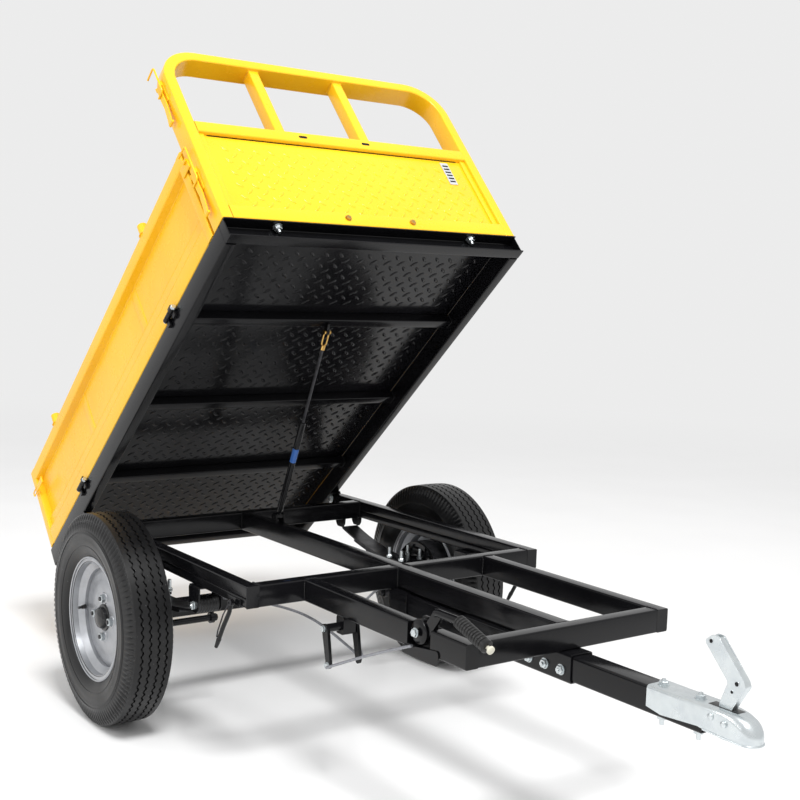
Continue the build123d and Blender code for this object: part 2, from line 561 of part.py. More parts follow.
# Dust cap over the spindle's end
CAP_RADIUS, CAP_TIP = 33, 589
with BuildPart() as dust_cap_right:
    disc(CHASSIS, 0, (-CAP_TIP, -DISC_Y), AXLE_Z, CAP_RADIUS)
    fillet(dust_cap_right.edges().group_by(Axis.Y)[0], radius=12)
    disc(CHASSIS, 0, (-CAP_TIP + 3, -DISC_Y), AXLE_Z, CAP_RADIUS - 12, Mode.SUBTRACT)
write_pair(dust_cap_right, "dust_cap")

# Box rails, each with the two ears of its pivot bracket
EAR_HALF, EAR_RADIUS = 20, 14
with BuildPart() as box_rails:
    for side in SIDES:
        rail_span = across(side, BOX_RAIL_OUTER - BOX_RAIL_WIDTH, BOX_RAIL_OUTER)
        tube_forward(BODY, (0, BODY_LENGTH), rail_span, (-BOX_RAIL_HEIGHT, 0))
        for inner, outer in ((421, 426.5), (451.5, 457)):
            ear = across(side, inner, outer)
            ear_u = (PIVOT_U - EAR_HALF, PIVOT_U + EAR_HALF)
            block(BODY, ear_u, ear, (PIVOT_W, -BOX_RAIL_HEIGHT))
            disc(BODY, PIVOT_U, ear, PIVOT_W, EAR_RADIUS)
            disc(BODY, PIVOT_U, grown(ear, 1), PIVOT_W, PIVOT_BOLT, Mode.SUBTRACT)
            if inner < BOX_RAIL_OUTER - BOX_RAIL_WIDTH:
                block(BODY, ear_u, across(side, inner, 428), (-BOX_RAIL_HEIGHT - 3, -BOX_RAIL_HEIGHT))
box_rails.part.label = "box_rails"
export_step(box_rails.part, "parts/box_rails.step")

# Pivot bolts
with BuildPart() as pivot_bolts:
    for side in SIDES:
        disc(BODY, PIVOT_U, across(side, 414, 466), PIVOT_W, PIVOT_BOLT)
        for inner, outer in ((413, 421), (457, 466)):
            low, high = across(side, inner, outer)
            hexagon(BODY, (PIVOT_U, low, PIVOT_W), (PIVOT_U, high, PIVOT_W), 12)
pivot_bolts.part.label = "pivot_bolts"
export_step(pivot_bolts.part, "parts/pivot_bolts.step")

# Box cross members under the floor: the rear one has the tailgate's fixed knuckles, the front one a
# blade-shaped lug for the strut
KNUCKLE_LENGTH = 20
LUG_HALF = 4
LUG_TIP = 7
with BuildPart() as box_crossmembers:
    member_span = (BOX_RAIL_WIDTH - BOX_RAIL_OUTER, BOX_RAIL_OUTER - BOX_RAIL_WIDTH)
    for u in MEMBER_POSITIONS:
        tube_across(BODY, (u, u + BOX_RAIL_WIDTH), member_span, (MEMBER_BOTTOM, MEMBER_TOP))
    for y in TAIL_HINGES:
        block(BODY, (TAIL_HINGE_U, 0), (y, y + KNUCKLE_LENGTH), (-12, TAIL_HINGE_W - 2))
        disc(BODY, TAIL_HINGE_U, (y, y + KNUCKLE_LENGTH), TAIL_HINGE_W, TAIL_KNUCKLE)
        disc(BODY, TAIL_HINGE_U, (y, y + 2 * KNUCKLE_LENGTH), TAIL_HINGE_W, TAIL_PIN)
    lug_outline = [
        (STRUT_TOP_U - LUG_TIP, STRUT_TOP_W), (STRUT_TOP_U + LUG_TIP, STRUT_TOP_W - 2),
        (STRUT_TOP_U + 30, MEMBER_BOTTOM), (STRUT_TOP_U + 5, MEMBER_BOTTOM),
    ]
    plate(BODY, lug_outline, (-LUG_HALF, LUG_HALF))
    disc(BODY, STRUT_TOP_U, (-LUG_HALF, LUG_HALF), STRUT_TOP_W, LUG_TIP)
box_crossmembers.part.label = "box_crossmembers"
export_step(box_crossmembers.part, "parts/box_crossmembers.step")

# Front channel, open forward, with the flange that the front frame stands on
FLOOR_HALF = BOX_RAIL_OUTER - BOX_RAIL_WIDTH - 0.5
with BuildPart() as front_channel:
    channel_y = (-BOX_RAIL_OUTER, BOX_RAIL_OUTER)
    block(BODY, (FRAME_REAR, CHANNEL_FRONT), (-FLOOR_HALF, FLOOR_HALF), (MEMBER_TOP, 0))
    channel_w = (CHANNEL_BOTTOM, MEMBER_TOP)
    block(BODY, (BODY_LENGTH, CHANNEL_FRONT), channel_y, channel_w)
    hollow_u = (BODY_LENGTH + TUBE_WALL, CHANNEL_FRONT + 1)
    block(BODY, hollow_u, grown(channel_y, 1), grown(channel_w, -TUBE_WALL), Mode.SUBTRACT)
front_channel.part.label = "front_channel"
export_step(front_channel.part, "parts/front_channel.step")

# Floor plate
with BuildPart() as floor_plate:
    block(BODY, (3, FRAME_REAR - 0.5), (-FLOOR_HALF, FLOOR_HALF), (MEMBER_TOP, 0))
floor_plate.part.label = "floor_plate"
export_step(floor_plate.part, "parts/floor_plate.step")

# Front frame: bent tube with round upper corners, a sill, a middle rail and two uprights
FRAME_HALF = BOX_RAIL_OUTER


def frame_ring(shrink):
    """Outline of the bent frame tube, made thinner by a wall on every side."""
    with BuildSketch(front_plane(BODY, FRAME_REAR + shrink)) as ring:
        with Locations((0, FRAME_TOP / 2)):
            Rectangle(2 * (FRAME_HALF - shrink), FRAME_TOP - 2 * shrink)
        fillet(ring.vertices().sort_by(Axis.Z)[-2:], radius=FRAME_CORNER - shrink)
        window_half = FRAME_HALF - FRAME_TUBE + shrink
        window_top = FRAME_TOP - FRAME_TUBE + shrink
        for low, high in ((FRAME_SILL, FRAME_MID_LOW), (FRAME_MID_HIGH, window_top)):
            window_low = low - shrink
            window_high = high + shrink if high == FRAME_MID_LOW else high
            with BuildSketch(mode=Mode.PRIVATE) as window:
                with Locations((0, (window_low + window_high) / 2)):
                    Rectangle(2 * window_half, window_high - window_low)
                if high == window_top:
                    corner = FRAME_CORNER - FRAME_TUBE + shrink
                    fillet(window.vertices().sort_by(Axis.Y)[-2:], radius=corner)
            add(window.sketch, mode=Mode.SUBTRACT)
    return ring.sketch


with BuildPart() as front_frame:
    extrude(frame_ring(0), amount=FRAME_FRONT - FRAME_REAR)
    extrude(frame_ring(SHEET), amount=FRAME_FRONT - FRAME_REAR - 2 * SHEET, mode=Mode.SUBTRACT)
    for y in UPRIGHTS:
        bar_w = (FRAME_MID_HIGH, FRAME_TOP - FRAME_TUBE)
        block(BODY, (FRAME_REAR + 10, FRAME_FRONT - 10), (y - 15, y + 15), bar_w)
        inside_u = (FRAME_REAR + 10 + SHEET, FRAME_FRONT - 10 - SHEET)
        block(BODY, inside_u, (y - 15 + SHEET, y + 15 - SHEET), grown(bar_w, SHEET), Mode.SUBTRACT)
    for y in (-200, 200):
        middle_u = (FRAME_REAR + FRAME_FRONT) / 2
        rod(BODY, (middle_u, y, -1), (middle_u, y, SHEET + 1), 4, Mode.SUBTRACT)
front_frame.part.label = "front_frame"
export_step(front_frame.part, "parts/front_frame.step")

# Front panel, in the lower window of the frame
with BuildPart() as front_panel:
    panel_half = FRAME_HALF - FRAME_TUBE
    block(BODY, (PANEL_U, PANEL_U + SHEET), (-panel_half, panel_half), (FRAME_SILL, FRAME_MID_LOW))
front_panel.part.label = "front_panel"
export_step(front_panel.part, "parts/front_panel.step")

# Side walls: pressed sheet with end posts, stake sockets, hinge knuckles and a striker
WALL_SECTION = [
    (26, 250), (26, 286), (1, 286), (1, 249), (23, 243), (23, 100),
    (12, 92), (12, 58), (2, 52), (2, 3.5), (26, 3.5), (26, 12),
]


def wall_section(plane, outer, inward):
    """Face of the pressed wall sheet, traced along its middle: depths are measured inwards."""
    with BuildSketch(plane) as section:
        with BuildLine() as middle:
            Polyline(*[(outer + inward * depth, height) for depth, height in WALL_SECTION])
        trace(middle.line, line_width=SHEET)
    return section.sketch


POST = 30
with BuildPart() as side_wall_right:
    extrude(wall_section(front_plane(BODY, WALL_REAR), -WALL_OUTER, 1), amount=WALL_FRONT - WALL_REAR)
    wall_y = (-WALL_OUTER, -WALL_OUTER + WALL_DEPTH)
    for post_u in ((WALL_REAR, WALL_REAR + POST), (WALL_FRONT - POST, WALL_FRONT)):
        block(BODY, post_u, wall_y, (WALL_FOOT, WALL_TOP))
        block(BODY, grown(post_u, -SHEET), grown(wall_y, -SHEET), (WALL_FOOT - 1, WALL_TOP - SHEET), Mode.SUBTRACT)
    socket_y = -WALL_OUTER + WALL_DEPTH / 2
    for u in SOCKET_POSITIONS:
        rod(BODY, (u, socket_y, WALL_TOP), (u, socket_y, WALL_TOP + SOCKET_HEIGHT), SOCKET_TUBE)
        rod(BODY, (u, socket_y, WALL_TOP), (u, socket_y, WALL_TOP + SOCKET_HEIGHT + 1), SOCKET_HOLE, Mode.SUBTRACT)
    for u in SIDE_HINGES:
        rod(BODY, (u - 10, -HINGE_Y, HINGE_W), (u + 10, -HINGE_Y, HINGE_W), KNUCKLE)
        block(BODY, (u - 10, u + 10), (-HINGE_Y, -WALL_OUTER + 3), (WALL_FOOT, KNUCKLE))
        rod(BODY, (u - 11, -HINGE_Y, HINGE_W), (u + 11, -HINGE_Y, HINGE_W), HINGE_PIN + RUN, Mode.SUBTRACT)
    block(BODY, (WALL_FRONT - 20, WALL_FRONT + 22), (-WALL_OUTER - 4, -WALL_OUTER), (212, 240))
    block(BODY, (WALL_FRONT + 6, WALL_FRONT + 22), (-WALL_OUTER - 9, -WALL_OUTER - 4), (232, 240))
write_pair(side_wall_right, "side_wall")

# Side hinges: the fixed knuckles and pins on the box rails
with BuildPart() as side_hinges:
    for side in SIDES:
        for u in SIDE_HINGES:
            y = side * HINGE_Y
            for start in (u - 26, u + 11):
                rod(BODY, (start, y, HINGE_W), (start + 15, y, HINGE_W), KNUCKLE)
                ledge = across(side, BOX_RAIL_OUTER, HINGE_Y)
                block(BODY, (start, start + 15), ledge, (-22, -2))
            rod(BODY, (u - 30, y, HINGE_W), (u + 30, y, HINGE_W), HINGE_PIN)
side_hinges.part.label = "side_hinges"
export_step(side_hinges.part, "parts/side_hinges.step")

# Tailgate: the same pressed section between the side walls
TAILGATE_OUTER = 2
with BuildPart() as tailgate:
    gate_plane = side_plane(BODY, TAILGATE_HALF)
    extrude(wall_section(gate_plane, TAILGATE_OUTER, 1), amount=2 * TAILGATE_HALF)
    gate_u = (TAILGATE_OUTER, TAILGATE_OUTER + WALL_DEPTH)
    for post_y in ((-TAILGATE_HALF, POST - TAILGATE_HALF), (TAILGATE_HALF - POST, TAILGATE_HALF)):
        block(BODY, gate_u, post_y, (WALL_FOOT, WALL_TOP))
        block(BODY, grown(gate_u, -SHEET), grown(post_y, -SHEET), (WALL_FOOT - 1, WALL_TOP - SHEET), Mode.SUBTRACT)
    for y in TAIL_HINGES:
        knuckle_y = (y + KNUCKLE_LENGTH + 1, y + 2 * KNUCKLE_LENGTH)
        disc(BODY, TAIL_HINGE_U, knuckle_y, TAIL_HINGE_W, TAIL_KNUCKLE)
        block(BODY, (TAIL_HINGE_U - 3, TAILGATE_OUTER + 3), knuckle_y, (WALL_FOOT, WALL_FOOT + 4))
        disc(BODY, TAIL_HINGE_U, grown(knuckle_y, 1), TAIL_HINGE_W, TAIL_PIN + RUN, Mode.SUBTRACT)
tailgate.part.label = "tailgate"
export_step(tailgate.part, "parts/tailgate.step")

# Latch bases: angle plates on the front frame's sides, each with its lever's hinge ears
EAR = 3
with BuildPart() as latch_bases:
    for side in SIDES:
        for hinge_w in LATCH_HINGES.values():
            base_y = across(side, FRAME_HALF, FRAME_HALF + 2)
            block(BODY, (LATCH_U - 14, LATCH_U + 14), base_y, (hinge_w - 60, hinge_w + 14))
            for ear_u in ((LATCH_U - 14, LATCH_U - 14 + EAR), (LATCH_U + 14 - EAR, LATCH_U + 14)):
                ear_y = across(side, FRAME_HALF + 2, LATCH_Y + 3)
                block(BODY, ear_u, ear_y, (hinge_w - 5, hinge_w + 5))
latch_bases.part.label = "latch_bases"
export_step(latch_bases.part, "parts/latch_bases.step")

# Latch levers and their wire bails on the front frame
LEVER_HALF = 10
LATCH_GAP = 0.3
for level, hinge_w in LATCH_HINGES.items():
    with BuildPart() as latch_lever:
        lever_y = (-LATCH_Y - 4, -LATCH_Y - 1)
        lever_u = (LATCH_U - LEVER_HALF, LATCH_U + LEVER_HALF)
        block(BODY, lever_u, lever_y, (hinge_w - LATCH_LEVER, hinge_w))
        rod(BODY, (lever_u[0], -LATCH_Y, hinge_w), (lever_u[1], -LATCH_Y, hinge_w), 3)
        grip_w = hinge_w - LATCH_LEVER
        rod(BODY, (lever_u[0], -LATCH_Y - 4, grip_w), (lever_u[1], -LATCH_Y - 4, grip_w), 4)
    write_pair(latch_lever, f"latch_lever_{level}")
    with BuildPart() as latch_bail:
        leg_u = LATCH_U + LEVER_HALF + 2 * WIRE + 3
        bail_y = -LATCH_Y - 4 - WIRE - LATCH_GAP
        foot_w = hinge_w - LATCH_THROW
        bail_route = [
            (LATCH_U - LEVER_HALF, bail_y, foot_w), (leg_u, bail_y, foot_w),
            (leg_u, bail_y, hinge_w + LATCH_REACH), (WALL_FRONT + 6, bail_y, hinge_w + LATCH_REACH),
        ]
        wire(BODY, bail_route, WIRE, 6)
    write_pair(latch_bail, f"latch_bail_{level}")

# Rear latches: a lever with a wire loop on each side wall, near the tailgate
with BuildPart() as rear_latch:
    latch_y = -WALL_OUTER - 6
    rod(BODY, (REAR_LATCH_U, latch_y, REAR_LATCH_W - 11), (REAR_LATCH_U, latch_y, REAR_LATCH_W + 11), 3)
    lever_rear = REAR_LATCH_U - 52
    lever_w = (REAR_LATCH_W - 9, REAR_LATCH_W + 9)
    block(BODY, (lever_rear, REAR_LATCH_U), (latch_y - 2, latch_y), lever_w)
    loop = [
        (lever_rear + 6, latch_y - 1, REAR_LATCH_W - 7), (4, latch_y - 1, REAR_LATCH_W - 7),
        (4, latch_y - 1, REAR_LATCH_W + 7), (lever_rear + 6, latch_y - 1, REAR_LATCH_W + 7),
    ]
    wire(BODY, loop, WIRE - 0.5, 5)
write_pair(rear_latch, "rear_latch")

# Rail toggles: a lever that hangs down and back from its pin, with its wire bow
with BuildPart() as rail_toggle:
    toggle_y = (-TOGGLE_Y - 4, -TOGGLE_Y)
    disc(CHASSIS, TOGGLE_X, toggle_y, TOGGLE_Z + 2, 9)
    toggle_outline = [
        (TOGGLE_X - 8, TOGGLE_Z + 6), (TOGGLE_X + 8, TOGGLE_Z - 2),
        (TOGGLE_TIP_X + 7, TOGGLE_TIP_Z - 4), (TOGGLE_TIP_X - 7, TOGGLE_TIP_Z + 4),
    ]
    plate(CHASSIS, toggle_outline, toggle_y)
    disc(CHASSIS, TOGGLE_X, grown(toggle_y, 1), TOGGLE_Z + 2, TOGGLE_PIN + RUN, Mode.SUBTRACT)
    rod(CHASSIS, (TOGGLE_X - 16, -TOGGLE_Y - 6, 405), (TOGGLE_TIP_X + 8, -TOGGLE_Y - 6, 337), WIRE)
write_pair(rail_toggle, "rail_toggle")

# Strut base bracket on the centre beam
EAR_GAP = 10.5
with BuildPart() as strut_bracket:
    ear_x = (STRUT_BASE_X - 16, STRUT_BASE_X + 16)
    for side in SIDES:
        ear_y = across(side, EAR_GAP, EAR_GAP + 4)
        block(CHASSIS, ear_x, ear_y, (CHASSIS_TOP, STRUT_BASE_Z))
        disc(CHASSIS, STRUT_BASE_X, ear_y, STRUT_BASE_Z, 10)
    disc(CHASSIS, STRUT_BASE_X, (-EAR_GAP - 8, EAR_GAP + 8), STRUT_BASE_Z, 5)
strut_bracket.part.label = "strut_bracket"
export_step(strut_bracket.part, "parts/strut_bracket.step")

# Strut, drawn along its own line: local x up the strut, local z across it
strut_top = BODY.from_local_coords((STRUT_TOP_U, 0, STRUT_TOP_W))
strut_base = Vector(STRUT_BASE_X, 0, STRUT_BASE_Z)
strut_line = (strut_top - strut_base).normalized()
STRUT_LENGTH = (strut_top - strut_base).length
STRUT = Plane(strut_base, x_dir=strut_line, z_dir=(-strut_line.Z, 0, strut_line.X))
GLAND = 12
with BuildPart() as strut_cylinder:
    disc(STRUT, 0, (-FORK_HALF, FORK_HALF), 0, 11)
    rod(STRUT, (0, 0, 0), (STRUT_TUBE_LENGTH, 0, 0), STRUT_TUBE)
    rod(STRUT, (24, 0, 0), (STRUT_TUBE_LENGTH - GLAND, 0, 0), STRUT_TUBE - SHEET, Mode.SUBTRACT)
    rod(STRUT, (24, 0, 0), (STRUT_TUBE_LENGTH + 1, 0, 0), STRUT_ROD + RUN, Mode.SUBTRACT)
    disc(STRUT, 0, (-FORK_HALF - 1, FORK_HALF + 1), 0, 5 + RUN, Mode.SUBTRACT)
strut_cylinder.part.label = "strut_cylinder"
export_step(strut_cylinder.part, "parts/strut_cylinder.step")

with BuildPart() as strut_rod:
    fork_base = STRUT_LENGTH - FORK_SLOT
    rod(STRUT, (STRUT_TUBE_LENGTH - 90, 0, 0), (fork_base, 0, 0), STRUT_ROD)
    fork_span = (fork_base - 12, STRUT_LENGTH)
    block(STRUT, fork_span, (-FORK_HALF - 1, FORK_HALF + 1), (-LUG_TIP, LUG_TIP))
    disc(STRUT, STRUT_LENGTH, (-FORK_HALF - 3, FORK_HALF + 3), 0, LUG_TIP)
    slot_x = (fork_base, STRUT_LENGTH + 10)
    block(STRUT, slot_x, (-FORK_GAP, FORK_GAP), (-LUG_TIP - 1, LUG_TIP + 1), Mode.SUBTRACT)
strut_rod.part.label = "strut_rod"
export_step(strut_rod.part, "parts/strut_rod.step")

# Hand brake bracket: a side plate with the lever's pin, and the cross shaft's bearing block
PIN = 6
with BuildPart() as handbrake_bracket:
    bracket_outline = [(992, 412), (1122, 412), (1122, 448), (1090, 500), (1020, 500), (992, 448)]
    bracket_y = (-SUBFRAME_INNER - TUBE_WALL - 4, -SUBFRAME_INNER - TUBE_WALL)
    plate(CHASSIS, [(1012, 436), (1088, 436), (1088, 498), (1012, 498)], bracket_y)
    disc(CHASSIS, BRAKE_X, (-306, bracket_y[1]), BRAKE_Z, PIN)
    plate(CHASSIS, bracket_outline[:3] + [(992, 428.5)], (-SUBFRAME_OUTER - 3, -SUBFRAME_OUTER))
    shaft_block = (CROSS_X - 16, CROSS_X + 16)
    block(CHASSIS, shaft_block, (-292, -258), (CROSS_Z - 19, CHASSIS_BOTTOM))
    disc(CHASSIS, CROSS_X, (-293, -257), CROSS_Z, 10 + RUN, Mode.SUBTRACT)
handbrake_bracket.part.label = "handbrake_bracket"
export_step(handbrake_bracket.part, "parts/handbrake_bracket.step")

# Hand brake lever: drum, bent tube and ribbed grip
GRIP_START, GRIP_END = (1168, -286, 521), (1263, -286, 490)
with BuildPart() as brake_lever:
    drum_y = (-296, -276)
    disc(CHASSIS, BRAKE_X, drum_y, BRAKE_Z, BRAKE_DRUM)
    plate(CHASSIS, [(1040, 450), (1058, 444), (1110, 514), (1096, 528)], (-290, -282))
    disc(CHASSIS, BRAKE_X, grown(drum_y, 1), BRAKE_Z, PIN + RUN, Mode.SUBTRACT)
    rod(CHASSIS, (1096, BRAKE_Y, 521), GRIP_START, 9)
    rod(CHASSIS, GRIP_START, GRIP_END, 15)
    rod(CHASSIS, GRIP_START, GRIP_END, 5 + RUN, Mode.SUBTRACT)
brake_lever.part.label = "brake_lever"
export_step(brake_lever.part, "parts/brake_lever.step")

# Release button in the grip's end
with BuildPart() as brake_button:
    grip_line = Vector(*GRIP_END) - Vector(*GRIP_START)
    along = grip_line.normalized()
    button_tip = Vector(*GRIP_END) + along * 14
    stem_start = Vector(*GRIP_END) - along * 40
    rod(CHASSIS, tuple(stem_start), tuple(button_tip), 5)
    rod(CHASSIS, tuple(Vector(*GRIP_END) + along * 7), tuple(button_tip), 9)
brake_button.part.label = "brake_button"
export_step(brake_button.part, "parts/brake_button.step")

# Cross shaft with its two arms
ARM_FOOT_X = CROSS_X + CROSS_SWING
ARM_FOOT_Z = CROSS_Z - CROSS_ARM
with BuildPart() as cross_shaft:
    disc(CHASSIS, CROSS_X, (-336, -244), CROSS_Z, 10)
    for arm_y in ((-336, -328), (-254, -246)):
        disc(CHASSIS, CROSS_X, arm_y, CROSS_Z, 14)
        arm = [(CROSS_X - 11, CROSS_Z), (CROSS_X + 11, CROSS_Z)]
        arm += [(ARM_FOOT_X + 8, ARM_FOOT_Z), (ARM_FOOT_X - 8, ARM_FOOT_Z)]
        plate(CHASSIS, arm, arm_y)
        disc(CHASSIS, ARM_FOOT_X, arm_y, ARM_FOOT_Z, 9)
cross_shaft.part.label = "cross_shaft"
export_step(cross_shaft.part, "parts/cross_shaft.step")

# Brake cables: from the lever's drum to the outer arm, and from the inner arm to each cam lever
CABLE_ROUTES = [
    [(1036, -305, 437), (975, -306, 414), (870, -326, 370), (774, -351, ARM_FOOT_Z + 2)],
    [(742, -240, ARM_FOOT_Z + 4), (620, -236, 352), (511, -244, 370), (390, -252, 366), (250, -264, 350), (110, -281, 328)],
    [(738, -228, ARM_FOOT_Z + 2), (640, -190, 350), (520, -90, 378), (390, 60, 378), (260, 196, 352), (110, 281, 328)],
]
with BuildPart() as brake_cables:
    for route in CABLE_ROUTES:
        radii = []
        for before, here, after in zip(route, route[1:], route[2:]):
            into = Vector(*here) - Vector(*before)
            out = Vector(*after) - Vector(*here)
            half_turn = math.radians(into.get_angle(out)) / 2
            radii.append(0.45 * min(into.length, out.length) / math.tan(half_turn))
        with BuildLine(mode=Mode.PRIVATE) as cable_path:
            FilletPolyline(*route, radius=radii)
        with BuildSketch(Plane(cable_path.line @ 0, z_dir=cable_path.line % 0)) as cable_section:
            Circle(CABLE)
        sweep(cable_section.sketch, path=cable_path.line)
brake_cables.part.label = "brake_cables"
export_step(brake_cables.part, "parts/brake_cables.step")
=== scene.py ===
import json
import math

import bmesh
import bpy
from mathutils import Matrix, Vector


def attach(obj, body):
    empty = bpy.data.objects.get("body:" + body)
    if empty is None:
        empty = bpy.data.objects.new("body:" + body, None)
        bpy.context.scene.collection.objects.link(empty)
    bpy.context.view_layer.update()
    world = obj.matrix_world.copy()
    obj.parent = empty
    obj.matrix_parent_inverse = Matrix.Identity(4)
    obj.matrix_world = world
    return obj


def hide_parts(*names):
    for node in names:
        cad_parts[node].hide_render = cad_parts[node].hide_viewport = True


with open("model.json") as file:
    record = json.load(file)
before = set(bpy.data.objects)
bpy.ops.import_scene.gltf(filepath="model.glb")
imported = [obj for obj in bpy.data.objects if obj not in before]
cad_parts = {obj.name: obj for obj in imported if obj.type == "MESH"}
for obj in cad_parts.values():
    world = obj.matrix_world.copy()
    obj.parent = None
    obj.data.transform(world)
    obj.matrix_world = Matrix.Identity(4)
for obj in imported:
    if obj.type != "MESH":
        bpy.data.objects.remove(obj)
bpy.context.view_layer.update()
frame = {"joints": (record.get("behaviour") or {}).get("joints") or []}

# Sizes below are millimetres in a base's own axes; each base scales them to metres.
MM = 0.001
JOINTS = {joint["name"]: joint for joint in frame["joints"]}
RIGHT, LEFT = -1, 1
SIDES = ((RIGHT, "right"), (LEFT, "left"))


def base_of(origin, x_dir, y_dir, z_dir):
    """Matrix from millimetres along three directions to metres in the row's frame."""
    columns = [Vector(axis).normalized() * MM for axis in (x_dir, y_dir, z_dir)]
    matrix = Matrix.Identity(4)
    for index, column in enumerate(columns):
        matrix.col[index][:3] = column
    matrix.translation = Vector(origin)
    return matrix


PIVOT_U, PIVOT_W = 303, -78
FORWARD = Vector(JOINTS["side_wall_left_fold"]["axis"])
ACROSS = Vector((0, 1, 0))
UPWARD = FORWARD.cross(ACROSS)
BOX_ORIGIN = Vector(JOINTS["box_tip"]["pos_m"]) - FORWARD * PIVOT_U * MM - UPWARD * PIVOT_W * MM
CHASSIS = base_of((0, 0, 0), (1, 0, 0), (0, 1, 0), (0, 0, 1))
BOX = base_of(BOX_ORIGIN, FORWARD, ACROSS, UPWARD)


# ---------------------------------------------------------------- materials


def add(tree, kind, inputs=(), out=0, **settings):
    """New node with its settings and its inputs, each a socket or a value; gives one of its outputs."""
    node = tree.nodes.new(kind)
    for title, value in settings.items():
        setattr(node, title, value)
    for title, value in dict(inputs).items():
        if hasattr(value, "links"):
            tree.links.new(value, node.inputs[title])
        else:
            node.inputs[title].default_value = value
    return node.outputs[out]


def new_material(name):
    """Empty node material and its shader and coordinates."""
    material = bpy.data.materials.new(name)
    material.use_nodes = True
    tree = material.node_tree
    return material, tree, tree.nodes["Principled BSDF"], add(tree, "ShaderNodeTexCoord", out="Object")


def noise(tree, vector, scale, detail=3.0, roughness=0.5):
    """Noise texture's factor."""
    inputs = {"Scale": scale, "Detail": detail, "Roughness": roughness, "Vector": vector}
    return add(tree, "ShaderNodeTexNoise", inputs, "Fac")


def ramp(tree, factor, stops):
    """Colour ramp through (position, value) stops; a value is a grey or a colour."""
    colours = add(tree, "ShaderNodeValToRGB", {"Fac": factor}, "Color")
    elements = colours.node.color_ramp.elements
    for element, (position, value) in zip(elements, stops):
        element.position = position
        element.color = (*(value if isinstance(value, tuple) else (value,) * 3), 1)
    return colours


def mix(tree, factor, first, second):
    """Colour mix; the first colour is a socket or a colour."""
    first = first if hasattr(first, "links") else (*first, 1)
    return add(tree, "ShaderNodeMix", {0: factor, 6: first, 7: (*second, 1)}, 2, data_type="RGBA")


def bump(tree, shader, height, strength, distance, under=None):
    """Bump from a height, on top of another bump if there is one."""
    inputs = {"Strength": strength, "Distance": distance, "Height": height}
    if under is not None:
        inputs["Normal"] = under
    normal = add(tree, "ShaderNodeBump", inputs)
    tree.links.new(normal, shader.inputs["Normal"])
    return normal


def finish(tree, shader, colour, roughness, **values):
    """Links a shader's colour and roughness, and sets its other values."""
    tree.links.new(colour, shader.inputs["Base Color"])
    tree.links.new(roughness, shader.inputs["Roughness"])
    for title, value in values.items():
        shader.inputs[title.replace("_", " ")].default_value = value


def gloss_paint(name, colour, shade, dust, speck_limit, roughness, coat, specular):
    """Powder coat: soft shade variation, orange peel, fine dust specks and a clear gloss."""
    material, tree, shader, place = new_material(name)
    tint = mix(tree, ramp(tree, noise(tree, place, 3.0, 4.0), [(0.35, 0.0), (0.7, 1.0)]), colour, shade)
    specks = ramp(tree, noise(tree, place, 420.0, 2.0), [(speck_limit, 0.0), (speck_limit + 0.05, 1.0)])
    smears = noise(tree, place, 14.0, 6.0, 0.65)
    gloss = ramp(tree, smears, [(0.3, roughness - 0.05), (0.7, roughness + 0.08)])
    finish(tree, shader, mix(tree, specks, tint, dust), gloss,
           Specular_IOR_Level=specular, Coat_Weight=coat, Coat_Roughness=0.12)
    under = bump(tree, shader, noise(tree, place, 22.0, 2.0), 0.05, 0.002)
    bump(tree, shader, noise(tree, place, 260.0, 1.0), 0.08, 0.0005, under)
    return material


def rubber(name, colour, worn):
    """Rubber with a fine grain, faint dust and small pale specks."""
    material, tree, shader, place = new_material(name)
    clouds = noise(tree, place, 9.0, 5.0)
    tint = mix(tree, ramp(tree, clouds, [(0.35, 0.0), (0.75, 1.0)]), colour, worn)
    specks = ramp(tree, noise(tree, place, 300.0, 1.0), [(0.76, 0.0), (0.8, 1.0)])
    dusty = mix(tree, specks, tint, (0.16, 0.16, 0.16))
    finish(tree, shader, dusty, ramp(tree, clouds, [(0.3, 0.3), (0.7, 0.46)]), Specular_IOR_Level=0.35)
    bump(tree, shader, noise(tree, place, 500.0, 2.0), 0.18, 0.0006)
    return material


def metal(name, colour, shade, low, high, metallic, grain):
    """Plated or painted metal: cloudy tone, uneven gloss and a fine grain."""
    material, tree, shader, place = new_material(name)
    clouds = noise(tree, place, grain, 4.0, 0.6)
    tint = mix(tree, ramp(tree, clouds, [(0.35, 0.0), (0.68, 1.0)]), colour, shade)
    gloss = ramp(tree, noise(tree, place, grain / 3, 3.0), [(0.3, low), (0.7, high)])
    finish(tree, shader, tint, gloss, Metallic=metallic)
    bump(tree, shader, noise(tree, place, grain * 5, 2.0), 0.1, 0.0004)
    return material


def plastic(name, colour, roughness):
    """Moulded plastic with a faint texture."""
    material, tree, shader, place = new_material(name)
    shades = ramp(tree, noise(tree, place, 60.0), [(0.3, tuple(0.85 * c for c in colour)), (0.7, colour)])
    tree.links.new(shades, shader.inputs["Base Color"])
    shader.inputs["Roughness"].default_value = roughness
    bump(tree, shader, noise(tree, place, 900.0, 1.0), 0.12, 0.0003)
    return material


